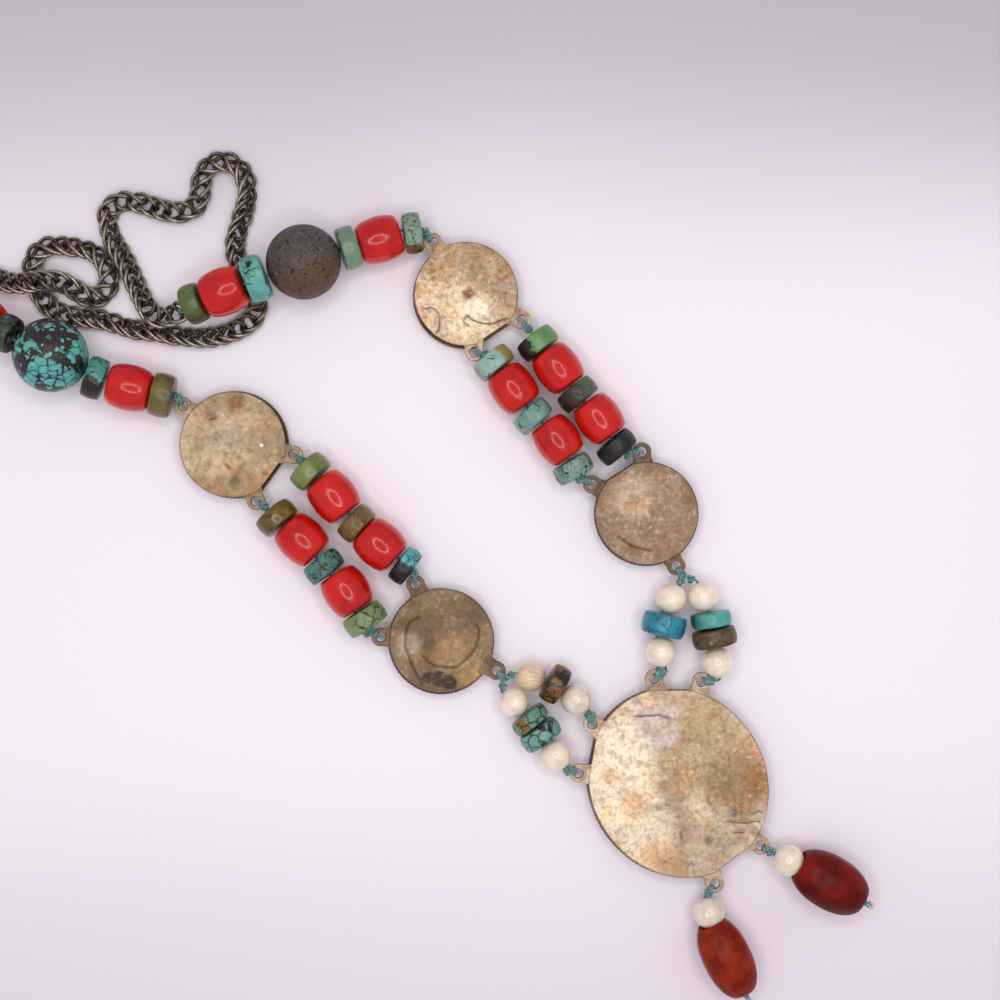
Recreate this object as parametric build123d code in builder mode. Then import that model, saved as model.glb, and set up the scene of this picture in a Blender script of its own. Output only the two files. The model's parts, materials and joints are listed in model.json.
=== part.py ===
from build123d import *
from collections import namedtuple
from math import asin, cos, degrees, pi, radians, sin, sqrt, tan
import os

# A long necklace of silver medallions, coral barrels and turquoise discs, lying face down.
# Millimetres. The origin is the middle of the pendant's flat front face, on the surface.
# +X is to the right and +Y towards the neck as it lies, and +Z is up from the surface.

# Driving dimensions: clearances
surface_gap = 0.08
bead_gap = 0.12
seat_clearance = 0.15
drill_overrun = 1.0

# Driving dimensions: beads
disc_length = 5.0
disc_diameter = 11.4
coral_length = 11.3
coral_diameter = 12.3
big_bead_diameter = 19.6
small_bead_diameter = 8.0
drop_length = 19.6
drop_diameter = 14.9
drop_facets = 8
drop_seat_depth = 1.8
bore_diameter = 1.6
edge_round = 0.7

# Driving dimensions: thread
thread_diameter = 0.7
thread_bend = 0.6
knot_diameter = 1.0
knot_gap = 0.12

# Driving dimensions: medallions
pendant_length = 51.0
pendant_width = 46.0
pendant_turn = 120
pendant_height = 6.0
medallion_diameter = 27.6
medallion_height = 5.4
plate_thickness = 0.9
wall_inset = 1.0
rim_height = 1.5
rim_overhang = 0.35
rim_round = 0.525
lug_reach = 2.5
lug_diameter = 5.0
lug_hole_diameter = 2.4
lug_neck_width = 5.6
lug_tip_share = 0.86

# Driving dimensions: chain
chain_diameter = 5.4
chain_knot_share = 0.5

# How much of the shorter run beside a corner its bend may take, and the turn in degrees below which
# a route counts as straight
bend_share = 0.45
straight_turn = 0.5

# Each kind of bead: its size, the share of its radius that its flat ends have, and the share of
# its radius from its axis down to the surface that it rests on.
Kind = namedtuple("Kind", "length diameter face rest")
KINDS = {
    "disc": Kind(disc_length, disc_diameter, 0.92, 1),
    "coral": Kind(coral_length, coral_diameter, 0.78, 1),
    "big_bead": Kind(big_bead_diameter, big_bead_diameter, 0.28, 1),
    "small_bead": Kind(small_bead_diameter, small_bead_diameter, 0.28, 1),
    "drop": Kind(drop_length, drop_diameter, 0.58, cos(pi / drop_facets)),
}

# Stations of a faceted drop: place along it and radius, as shares of its length and radius.
DROP_STATIONS = [(-0.50, 0.58), (-0.27, 0.92), (0.02, 1.00), (0.28, 0.90), (0.50, 0.56)]

# Medallions: size and the lugs round them. A lug has its heading and a share of lug_reach.
Lug = namedtuple("Lug", "heading reach")
PENDANT_LUGS = {
    "right_drop": Lug(-37.4, 0.76),
    "bottom_drop": Lug(-70.3, 1.04),
    "right_outer": Lug(77.3, 1.12),
    "right_inner": Lug(103.2, 1.08),
    "left_inner": Lug(145.7, 0.88),
    "left_outer": Lug(174.4, 1.00),
}
LOWER_RIGHT_LUGS = {"down": Lug(-60.7, 0.84), "inner": Lug(151.9, 1.04), "outer": Lug(94.5, 1.06)}
LOWER_LEFT_LUGS = {"down": Lug(-28.4, 1.02), "inner": Lug(176.4, 0.86), "outer": Lug(114.6, 0.97)}
UPPER_RIGHT_LUGS = {"up": Lug(122.9, 0.96), "inner": Lug(-81.9, 0.68), "outer": Lug(-25.1, 1.00)}
UPPER_LEFT_LUGS = {"up": Lug(142.3, 0.95), "inner": Lug(-67.3, 0.80), "outer": Lug(-9.4, 0.88)}
LOWER_SHARE = {"right": 0.985, "left": 1.0}
UPPER_SHARE = {"right": 0.99, "left": 1.015}

# Strings, walked from lug to lug. A row is one bead: its kind, length and width as shares of its
# kind's size, the heading of its axis in degrees, how far it sits to the left of its thread as a
# share of its radius, and how high its thread leaves it, as a share of the string's level. Round
# beads are as long as they are wide.
Bead = namedtuple("Bead", "kind length width heading side end_height")
String = namedtuple("String", "reach heading start_height end_reach end_heading beads")

LOWER_RIGHT_INNER = String(4.2, 42, 0.95, 5.3, 100, [
    Bead("small_bead", 1.01, 1.01, 107, 0.00, 0.99),
    Bead("disc", 1.15, 1.05, 77, -0.20, 0.99),
    Bead("small_bead", 1.00, 1.00, 55, 0.00, 0.91),
])
LOWER_RIGHT_OUTER = String(5.0, 8, 0.95, 0, 0, [
    Bead("small_bead", 1.01, 1.01, 99, 0.00, 0.99),
    Bead("disc", 0.95, 1.06, 102, -0.05, 1.00),
    Bead("disc", 0.79, 0.96, 99, -0.05, 0.99),
    Bead("small_bead", 0.99, 0.99, 110, 0.00, 0.91),
])
SIDE_RIGHT_INNER = String(3.9, 151, 0.96, 3.7, 165, [
    Bead("disc", 0.97, 0.96, 121, 0.05, 1.00),
    Bead("coral", 0.98, 0.96, 126, -0.10, 1.00),
    Bead("disc", 1.00, 0.96, 134, 0.10, 1.00),
    Bead("coral", 0.98, 0.97, 126, 0.00, 1.00),
    Bead("disc", 0.97, 0.98, 129, 0.00, 0.96),
])
SIDE_RIGHT_OUTER = String(4.7, 189, 0.96, 0, 0, [
    Bead("disc", 0.98, 0.98, 131, 0.05, 1.00),
    Bead("coral", 0.98, 0.96, 126, -0.10, 1.00),
    Bead("disc", 1.00, 0.98, 130, 0.00, 1.00),
    Bead("coral", 0.98, 0.97, 126, 0.00, 1.00),
    Bead("disc", 1.00, 0.99, 128, 0.05, 0.96),
])
UPPER_RIGHT = String(4.6, 127, 0.62, 0, 0, [
    Bead("disc", 0.92, 0.97, 189, 0.20, 0.66),
    Bead("coral", 1.00, 1.00, 198, 0.10, 0.75),
    Bead("disc", 0.92, 1.03, 199, 0.05, 0.81),
    Bead("big_bead", 0.99, 0.99, 201, 0.00, 1.19),
    Bead("disc", 1.10, 1.10, 201, 0.00, 1.20),
    Bead("coral", 0.98, 1.01, 201, 0.00, 1.10),
    Bead("disc", 0.97, 0.95, 201, 0.00, 1.02),
])
LOWER_LEFT_INNER = String(3.8, 103, 0.95, 5.2, 172, [
    Bead("small_bead", 1.02, 1.02, 142, 0.00, 0.99),
    Bead("disc", 0.97, 0.94, 150, -0.05, 0.99),
    Bead("small_bead", 0.97, 0.97, 168, 0.00, 0.91),
])
LOWER_LEFT_OUTER = String(3.9, 167, 0.95, 0, 0, [
    Bead("small_bead", 1.02, 1.02, 119, 0.00, 0.99),
    Bead("disc", 0.95, 1.00, 125, 0.10, 1.00),
    Bead("disc", 0.78, 0.93, 129, 0.10, 0.99),
    Bead("small_bead", 0.97, 0.97, 142, 0.00, 0.91),
])
SIDE_LEFT_INNER = String(3.8, 153, 0.96, 4.6, 148, [
    Bead("disc", 1.06, 1.04, 124, -0.20, 1.00),
    Bead("coral", 0.99, 1.00, 123, -0.20, 1.00),
    Bead("disc", 1.03, 0.96, 128, 0.00, 1.00),
    Bead("coral", 0.99, 1.00, 136, -0.10, 1.00),
    Bead("disc", 1.01, 1.00, 132, 0.00, 0.96),
])
SIDE_LEFT_OUTER = String(3.8, 95, 0.96, 0, 0, [
    Bead("disc", 0.90, 0.92, 143, 0.10, 1.00),
    Bead("coral", 1.00, 1.00, 138, 0.10, 1.00),
    Bead("disc", 1.00, 0.96, 138, 0.10, 1.00),
    Bead("coral", 1.01, 1.00, 129, 0.05, 1.00),
    Bead("disc", 1.00, 0.98, 136, 0.10, 0.96),
])
UPPER_LEFT = String(3.8, 119, 0.60, 0, 0, [
    Bead("disc", 1.12, 1.04, 167, 0.20, 0.67),
    Bead("coral", 0.99, 1.01, 167, 0.20, 0.82),
    Bead("disc", 0.98, 1.00, 161, 0.20, 0.92),
    Bead("big_bead", 0.98, 0.98, 157, 0.00, 1.08),
    Bead("disc", 0.96, 0.92, 152, -0.10, 1.04),
    Bead("coral", 1.00, 1.01, 150, -0.10, 0.90),
    Bead("disc", 1.00, 0.92, 151, 0.00, 0.80),
])
RIGHT_DROP = String(3.9, -31, 0.85, 0, 0, [
    Bead("small_bead", 1.02, 1.02, -23, 0.00, 0.98),
    Bead("drop", 0.97, 1.04, -30, 0.00, 1.02),
])
BOTTOM_DROP = String(4.1, -130, 0.85, 0, 0, [
    Bead("small_bead", 1.02, 1.02, -76, 0.00, 0.98),
    Bead("drop", 1.02, 0.94, -64, 0.00, 1.02),
])

# Chain: how far its ends start from the last bead of each upper string, where those ends lie, and
# the points of its route between them, from the right string to the left one. The route is carried
# along where a string ends elsewhere. Lift is in chain diameters over the surface, more than 0 where
# the chain lies on another stretch of itself.
CHAIN_LEAD_RIGHT = Vector(-1.9, -0.9, -1.8)
CHAIN_LEAD_LEFT = Vector(-2.3, 1.1, -1.2)
ROUTE_START = Vector(-129.44, 122.74, 0)
ROUTE_END = Vector(-193.39, 127.03, 0)
CHAIN_ROUTE = [
    (-133.9, 121.2, 0.80),
    (-137.6, 122.1, 0.70),
    (-140.2, 125.8, 0.28),
    (-142.4, 130.0, 0),
    (-144.3, 134.4, 0),
    (-146.4, 138.7, 0),
    (-148.8, 142.3, 0),
    (-149.9, 146.3, 0),
    (-150.1, 149.7, 0),
    (-148.2, 152.1, 0),
    (-144.3, 153.0, 0),
    (-139.8, 151.8, 0),
    (-134.8, 150.0, 0),
    (-129.8, 149.7, 0),
    (-126.9, 151.3, 0),
    (-125.7, 154.4, 0),
    (-125.6, 158.1, 0),
    (-124.0, 161.5, 0),
    (-120.6, 163.3, 0),
    (-116.9, 162.6, 0),
    (-114.3, 160.0, 0),
    (-113.2, 155.8, 0),
    (-113.8, 151.3, 0),
    (-115.3, 146.5, 0),
    (-116.5, 142.3, 0),
    (-116.4, 138.7, 0),
    (-114.8, 135.0, 0),
    (-112.4, 130.5, 0),
    (-110.6, 126.0, 0),
    (-111.1, 122.3, 0),
    (-114.6, 119.4, 0),
    (-119.8, 117.3, 0),
    (-125.6, 116.5, 0),
    (-132.2, 117.2, 0),
    (-138.8, 118.3, 0),
    (-144.8, 119.2, 0),
    (-149.8, 121.0, 0),
    (-154.6, 121.9, 0),
    (-159.6, 122.2, 0),
    (-164.0, 123.5, 0),
    (-166.9, 126.5, 0),
    (-168.8, 130.2, 0),
    (-170.1, 134.4, 0),
    (-169.3, 138.4, 0),
    (-166.1, 140.8, 0),
    (-161.9, 140.8, 0),
    (-157.5, 140.4, 0),
    (-153.8, 139.2, 0),
    (-151.0, 136.5, 0),
    (-149.6, 132.9, 0),
    (-150.1, 129.4, 0),
    (-152.7, 127.3, 0),
    (-156.1, 127.7, 0),
    (-159.4, 130.0, 0.12),
    (-162.3, 131.3, 0.62),
    (-166.5, 131.2, 1.08),
    (-171.3, 130.4, 0.95),
    (-176.5, 131.1, 0.40),
    (-181.6, 133.6, 0.05),
    (-186.9, 136.3, 0),
    (-193.2, 139.7, 0),
    (-200.6, 141.0, 0),
    (-207.2, 139.2, 0),
    (-210.9, 134.7, 0),
    (-210.3, 129.7, 0),
    (-206.4, 126.8, 0),
    (-201.6, 126.5, 0.05),
    (-197.2, 126.8, 0.15),
]

# Values that follow from the sizes
bore_radius = bore_diameter / 2
thread_radius = thread_diameter / 2
knot_radius = knot_diameter / 2
lug_radius = lug_diameter / 2
lug_hole_radius = lug_hole_diameter / 2
lug_middle = (lug_radius + lug_hole_radius) / 2
lug_section = sqrt((lug_radius - lug_hole_radius) ** 2 + plate_thickness ** 2) / 2
loop_radius = lug_section + thread_radius + knot_gap
knot_reach = lug_radius + knot_radius + knot_gap
lug_root_reach = lug_radius + wall_inset + lug_reach / 2


def heading_vector(heading, pitch=0):
    """Unit vector at a heading in the plane and a pitch above it, in degrees."""
    flat = cos(radians(pitch))
    return Vector(flat * cos(radians(heading)), flat * sin(radians(heading)), sin(radians(pitch)))


def bend_radii(points, limit=None):
    """As large an arc at each corner as its two runs allow, or the limit if that is less."""
    radii = []
    for before, corner, after in zip(points, points[1:], points[2:]):
        turn = radians((corner - before).get_angle(after - corner))
        room = bend_share * min((corner - before).length, (after - corner).length) / tan(turn / 2)
        radii.append(room if limit is None else min(room, limit))
    return radii


def without_straight(points):
    """The points without those at which the route runs straight on."""
    kept = [points[0]]
    for corner, after in zip(points[1:], points[2:]):
        if (corner - kept[-1]).get_angle(after - corner) > straight_turn:
            kept.append(corner)
    return kept + [points[-1]]


def string_level(string):
    """Height of a string's middle line when it lies on its widest bead."""
    rest = max(KINDS[row.kind].diameter * row.width * KINDS[row.kind].rest for row in string.beads)
    return rest / 2 + surface_gap


# A bead in its place: its middle, axis and size, and where its thread enters and leaves it.
Spot = namedtuple("Spot", "kind centre axis length diameter enter leave")


def walk(string, hole):
    """Places of a string's beads from the lug hole that it starts at, and its thread's points."""
    level = string_level(string)
    start = hole + heading_vector(string.heading) * string.reach
    point = Vector(start.X, start.Y, level * string.start_height)
    lengths = [KINDS[row.kind].length * row.length for row in string.beads]
    heights = [level * string.start_height] + [level * row.end_height for row in string.beads]
    axes = []
    for row, length, low, high in zip(string.beads, lengths, heights, heights[1:]):
        pitch = degrees(asin((high - low) / (length + bead_gap)))
        axes.append(heading_vector(row.heading, pitch))
    faces = [KINDS[row.kind].diameter * row.width * (KINDS[row.kind].face + abs(row.side)) / 2
             for row in string.beads]
    first_turn = radians(heading_vector(string.heading).get_angle(axes[0]))
    rooms = [bead_gap / 2 + thread_radius * sin(first_turn)]
    for first, second, face, next_face in zip(axes, axes[1:], faces, faces[1:]):
        half_turn = radians(first.get_angle(second)) / 2
        rooms.append(bead_gap / 2 + min(face, next_face) * sin(half_turn))
    rooms.append(bead_gap / 2)
    spots = []
    points = [point]
    for number, (row, length, axis) in enumerate(zip(string.beads, lengths, axes)):
        kind = KINDS[row.kind]
        radius = kind.diameter * row.width / 2
        before = -drop_seat_depth if row.kind == "drop" else rooms[number]
        sideways = heading_vector(row.heading + 90) * (row.side * radius)
        enter = point + axis * before
        leave = enter + axis * length
        spots.append(Spot(row.kind, (enter + leave) / 2 + sideways, axis, length, 2 * radius, enter, leave))
        point = leave + axis * rooms[number + 1]
        points.append(point)
    return spots, points


def lug_hole(centre, plate_radius, height, lug):
    """Middle of a lug's hole."""
    middle = Vector(centre.X, centre.Y, height - plate_thickness / 2)
    return middle + heading_vector(lug.heading) * (plate_radius + lug.reach * lug_reach)


def pendant_radius(heading):
    """Radius of the pendant's oval plate at a heading."""
    along = cos(radians(heading - pendant_turn)) / (pendant_length / 2)
    across = sin(radians(heading - pendant_turn)) / (pendant_width / 2)
    return 1 / sqrt(along ** 2 + across ** 2)


def medallion_at(string, points, share, lugs):
    """Middle of the medallion whose lower lug a string ends at."""
    hole = points[-1] + heading_vector(string.end_heading) * string.end_reach
    lug = lugs["down"] if "down" in lugs else lugs["inner"]
    reach = medallion_diameter / 2 * share + lug.reach * lug_reach
    middle = hole - heading_vector(lug.heading) * reach
    return Vector(middle.X, middle.Y, 0)


def medallion(label, centre, length, width, turn, height, holes):
    """A closed drum: rim and plain front below, wall, and a back plate with drilled lugs."""
    plate_bottom = height - plate_thickness
    with BuildPart() as body:
        with BuildSketch(Plane(origin=centre)):
            Ellipse(length / 2 + rim_overhang, width / 2 + rim_overhang, rotation=turn)
        extrude(amount=rim_height)
        fillet(body.edges(), radius=rim_round)
        with BuildSketch(Plane(origin=centre).offset(rim_height / 2)):
            Ellipse(length / 2 - wall_inset, width / 2 - wall_inset, rotation=turn)
        extrude(amount=plate_bottom - rim_height / 2)
        with BuildSketch(Plane(origin=centre).offset(plate_bottom)):
            Ellipse(length / 2, width / 2, rotation=turn)
            for hole in holes:
                place = hole - centre
                out = Vector(place.X, place.Y, 0).normalized()
                aside = Vector(-out.Y, out.X, 0)
                tip = Vector(place.X, place.Y, 0)
                root = tip - out * lug_root_reach
                root_aside = aside * lug_neck_width / 2
                tip_aside = aside * lug_radius * lug_tip_share
                corners = [root + root_aside, tip + tip_aside, tip - tip_aside, root - root_aside]
                Polygon(*[(corner.X, corner.Y) for corner in corners], align=None)
                with Locations((place.X, place.Y)):
                    Circle(lug_radius)
            with Locations(*[((hole - centre).X, (hole - centre).Y) for hole in holes]):
                Circle(lug_hole_radius, mode=Mode.SUBTRACT)
        extrude(amount=plate_thickness)
    finish(body.part, label)


def finish(solid, label):
    """Labels a finished piece, writes it and keeps count of the pieces."""
    solid.label = label
    export_step(solid, f"parts/{label}.step")
    labels.append(label)


def turned_bead(spot):
    """A bead turned about its axis, drilled where its thread runs."""
    across = Plane(origin=spot.centre, x_dir=spot.axis, z_dir=spot.axis.cross(Vector(0, 0, 1)).normalized())
    end = spot.length / 2
    radius = spot.diameter / 2
    face = radius * KINDS[spot.kind].face
    bulge_radius = (end ** 2 + (radius - face) ** 2) / (2 * (radius - face))
    bulge_angle = degrees(asin(end / bulge_radius))
    bulge_centre = (0, radius - bulge_radius)
    with BuildPart() as bead:
        if spot.kind in ("big_bead", "small_bead"):
            with Locations(spot.centre):
                Sphere(radius)
        else:
            with BuildSketch(across):
                with BuildLine():
                    Line((-end, 0), (-end, face))
                    CenterArc(bulge_centre, bulge_radius, start_angle=90, arc_size=bulge_angle)
                    CenterArc(bulge_centre, bulge_radius, start_angle=90, arc_size=-bulge_angle)
                    Line((end, face), (end, 0))
                    Line((end, 0), (-end, 0))
                make_face()
            revolve(axis=Axis(spot.centre, spot.axis), clean=False)
            rims = [edge for flat in bead.faces().filter_by(GeomType.PLANE) for edge in flat.edges()]
            fillet(rims, radius=edge_round)
        drill_from = spot.enter - spot.axis * drill_overrun
        with BuildSketch(Plane(origin=drill_from, x_dir=across.z_dir, z_dir=spot.axis)):
            Circle(bore_radius)
        extrude(amount=spot.length + 2 * drill_overrun, mode=Mode.SUBTRACT, clean=False)
    return bead.part


def faceted_drop(spot, seat):
    """A faceted barrel, flat side down, dished at its end for the round bead before it."""
    with BuildPart() as drop:
        for place, share in DROP_STATIONS:
            origin = spot.centre + spot.axis * (place * spot.length)
            side = Vector(-spot.axis.Y, spot.axis.X, 0).normalized()
            with BuildSketch(Plane(origin=origin, x_dir=side, z_dir=spot.axis)):
                RegularPolygon(share * spot.diameter / 2, drop_facets, rotation=180 / drop_facets)
        loft(ruled=True)
        with BuildSketch(Plane(origin=spot.enter - spot.axis * drill_overrun, z_dir=spot.axis)):
            Circle(bore_radius)
        extrude(amount=spot.length + 2 * drill_overrun, mode=Mode.SUBTRACT)
        with Locations(Plane(origin=seat.centre, z_dir=spot.axis)):
            Sphere(seat.diameter / 2 + seat_clearance, mode=Mode.SUBTRACT)
    return drop.part


def bead_nodes(name, spots):
    """Each bead of a string as a piece of its own."""
    for number, spot in enumerate(spots, start=1):
        if spot.kind == "drop":
            solid = faceted_drop(spot, spots[number - 2])
        else:
            solid = turned_bead(spot)
        finish(solid, f"{name}_{spot.kind}_{number}")


def bead_group(name, spots):
    """All the beads of a short string as one piece of loose solids."""
    finish(Compound(children=[turned_bead(spot) for spot in spots]), f"{name}_beads")


def knot_at(hole, towards):
    """Middle of the knot beside a lug, on the side that the thread leaves for."""
    out = Vector(towards.X - hole.X, towards.Y - hole.Y, 0).normalized()
    return hole + out * knot_reach


def thread(name, lines, loops, knots):
    """Threads with a loop through each lug and their knots, as one piece."""
    with BuildPart() as cord:
        for points in lines:
            route_points = without_straight(points)
            with BuildLine() as route:
                FilletPolyline(*route_points, radius=bend_radii(route_points, thread_bend))
            with BuildSketch(Plane(origin=route.line @ 0, z_dir=route.line % 0)):
                Circle(thread_radius)
            sweep()
        for hole, towards in loops:
            out = Vector(towards.X - hole.X, towards.Y - hole.Y, 0).normalized()
            middle = hole + out * lug_middle
            with Locations(Plane(origin=middle, x_dir=out, z_dir=out.cross(Vector(0, 0, 1)))):
                Torus(loop_radius, thread_radius)
        with Locations(*knots):
            Sphere(knot_radius)
    finish(cord.part, f"{name}_thread")


def chain(start, end):
    """The neck chain, as a tube of its outer diameter along its route."""
    start_move = Vector(start.X, start.Y, 0) - ROUTE_START
    end_move = Vector(end.X, end.Y, 0) - ROUTE_END
    middle = []
    for number, (x, y, lift) in enumerate(CHAIN_ROUTE):
        share = number / (len(CHAIN_ROUTE) - 1)
        point = Vector(x, y, chain_diameter * (0.5 + lift) + surface_gap)
        middle.append(point + start_move * (1 - share) + end_move * share)
    points = [start] + middle + [end]
    radii = bend_radii(points)
    print("chain radii", [round(radius, 1) for radius in radii])
    with BuildPart() as tube:
        with BuildLine() as route:
            FilletPolyline(*points, radius=radii)
        with BuildSketch(Plane(origin=route.line @ 0, z_dir=route.line % 0)):
            Circle(chain_diameter / 2)
        sweep()
    length = route.wires()[0].length
    section = pi * chain_diameter ** 2 / 4
    print("chain length", round(length, 1))
    print("chain volume over section times length", round(tube.part.volume / (section * length), 4))
    finish(tube.part, "neck_chain")


labels = []
os.makedirs("parts", exist_ok=True)
ORIGIN = Vector(0, 0, 0)

# Pendant and the strings that leave it
pendant_holes = {
    name: lug_hole(ORIGIN, pendant_radius(lug.heading), pendant_height, lug)
    for name, lug in PENDANT_LUGS.items()
}
medallion("pendant_medallion", ORIGIN, pendant_length, pendant_width, pendant_turn, pendant_height,
          list(pendant_holes.values()))

for name, string, lug_name in [
    ("right_drop", RIGHT_DROP, "right_drop"),
    ("bottom_drop", BOTTOM_DROP, "bottom_drop"),
]:
    hole = pendant_holes[lug_name]
    spots, points = walk(string, hole)
    bead_nodes(name, spots)
    knot = knot_at(hole, points[0])
    end_knot = points[-1] + spots[-1].axis * knot_radius
    thread(name, [[knot] + points[:-1] + [end_knot]], [(hole, points[0])], [knot, end_knot])

SIDES = {
    "right": (LOWER_RIGHT_INNER, LOWER_RIGHT_OUTER, LOWER_RIGHT_LUGS,
              SIDE_RIGHT_INNER, SIDE_RIGHT_OUTER, UPPER_RIGHT_LUGS, UPPER_RIGHT, CHAIN_LEAD_RIGHT),
    "left": (LOWER_LEFT_INNER, LOWER_LEFT_OUTER, LOWER_LEFT_LUGS,
             SIDE_LEFT_INNER, SIDE_LEFT_OUTER, UPPER_LEFT_LUGS, UPPER_LEFT, CHAIN_LEAD_LEFT),
}
chain_ends = {}
for side, (low_in, low_out, low_lugs, side_in, side_out, up_lugs, upper, lead) in SIDES.items():
    # Lower medallion, at the end of the inner lower string
    starts = {line: pendant_holes[f"{side}_{line}"] for line in ("inner", "outer")}
    inner_spots, inner_points = walk(low_in, starts["inner"])
    outer_spots, outer_points = walk(low_out, starts["outer"])
    lower_size = medallion_diameter * LOWER_SHARE[side]
    lower = medallion_at(low_in, inner_points, LOWER_SHARE[side], low_lugs)
    lower_holes = {
        name: lug_hole(lower, lower_size / 2, medallion_height, lug) for name, lug in low_lugs.items()
    }
    medallion(f"lower_{side}_medallion", lower, lower_size, lower_size, 0, medallion_height,
              list(lower_holes.values()))
    bead_group(f"lower_{side}_inner", inner_spots)
    bead_group(f"lower_{side}_outer", outer_spots)
    fork = (inner_points[-1] + outer_points[-1]) / 2
    fork_knot = knot_at(lower_holes["down"], fork)
    inner_knot = knot_at(starts["inner"], inner_points[0])
    outer_knot = knot_at(starts["outer"], outer_points[0])
    thread(f"lower_{side}",
           [[inner_knot] + inner_points + [fork_knot], [outer_knot] + outer_points + [fork_knot]],
           [(starts["inner"], inner_points[0]), (starts["outer"], outer_points[0]),
            (lower_holes["down"], fork)],
           [inner_knot, outer_knot, fork_knot])

    # Upper medallion, at the end of the inner side strand
    inner_spots, inner_points = walk(side_in, lower_holes["inner"])
    outer_spots, outer_points = walk(side_out, lower_holes["outer"])
    upper_size = medallion_diameter * UPPER_SHARE[side]
    upper_middle = medallion_at(side_in, inner_points, UPPER_SHARE[side], up_lugs)
    upper_holes = {
        name: lug_hole(upper_middle, upper_size / 2, medallion_height, lug) for name, lug in up_lugs.items()
    }
    medallion(f"upper_{side}_medallion", upper_middle, upper_size, upper_size, 0, medallion_height,
              list(upper_holes.values()))
    for line, spots, points in [("inner", inner_spots, inner_points), ("outer", outer_spots, outer_points)]:
        bead_nodes(f"side_{side}_{line}", spots)
        low_hole = lower_holes[line]
        high_hole = upper_holes[line]
        low_knot = knot_at(low_hole, points[0])
        high_knot = knot_at(high_hole, points[-1])
        thread(f"side_{side}_{line}", [[low_knot] + points + [high_knot]],
               [(low_hole, points[0]), (high_hole, points[-1])], [low_knot, high_knot])

    # Upper string, up to the chain
    spots, points = walk(upper, upper_holes["up"])
    bead_nodes(f"upper_{side}", spots)
    knot = knot_at(upper_holes["up"], points[0])
    end_knot = points[-1] + lead * chain_knot_share
    thread(f"upper_{side}", [[knot] + points + [end_knot]],
           [(upper_holes["up"], points[0])], [knot, end_knot])
    chain_ends[side] = points[-1] + lead

chain(chain_ends["right"], chain_ends["left"])
print(len(labels), "pieces")
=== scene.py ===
from collections import namedtuple
from math import atan2, cos, degrees, pi, radians, sin, sqrt
import json
import random

import bpy
import numpy as np
from mathutils import Matrix, Vector, noise


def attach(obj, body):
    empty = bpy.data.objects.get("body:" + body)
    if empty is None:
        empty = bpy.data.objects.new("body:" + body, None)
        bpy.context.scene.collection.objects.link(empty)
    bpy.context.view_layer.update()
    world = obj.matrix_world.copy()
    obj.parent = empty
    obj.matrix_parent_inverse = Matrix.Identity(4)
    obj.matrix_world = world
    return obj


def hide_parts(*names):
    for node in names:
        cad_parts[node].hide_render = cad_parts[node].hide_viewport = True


# Looks of a long necklace of silver medallions, coral barrels and turquoise discs, lying face down.
# The shapes are worked out in millimetres and made in metres. Colours are screen colours in hex.

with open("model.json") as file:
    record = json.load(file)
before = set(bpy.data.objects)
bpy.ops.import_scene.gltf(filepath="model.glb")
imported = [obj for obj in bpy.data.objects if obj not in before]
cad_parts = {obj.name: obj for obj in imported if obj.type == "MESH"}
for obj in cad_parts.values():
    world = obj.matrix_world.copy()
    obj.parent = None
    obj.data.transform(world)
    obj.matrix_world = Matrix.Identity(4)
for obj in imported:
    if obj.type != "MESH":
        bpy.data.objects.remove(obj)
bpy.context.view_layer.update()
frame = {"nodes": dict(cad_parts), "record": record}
MM = 0.001
UP = Vector((0, 0, 1))
# Without a seed, Blender's noise vectors start from the clock
noise.seed_set(1)
VIEW_X, VIEW_Y = -46.65, 73.91


# Camera and light

def add_camera():
    """Straight above the middle of the view."""
    data = bpy.data.cameras.new("camera")
    data.sensor_width = 36
    data.lens = 54.34
    data.clip_start = 0.01
    data.dof.use_dof = False
    camera = bpy.data.objects.new("camera", data)
    camera.location = (VIEW_X * MM, VIEW_Y * MM, 0.4)
    bpy.context.scene.collection.objects.link(camera)
    bpy.context.scene.camera = camera


def linear(code):
    """A screen colour as the linear values that a shader takes."""
    shares = [int(code[i:i + 2], 16) / 255 for i in (0, 2, 4)]
    return (*(s / 12.92 if s <= 0.04045 else ((s + 0.055) / 1.055) ** 2.4 for s in shares), 1)


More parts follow.
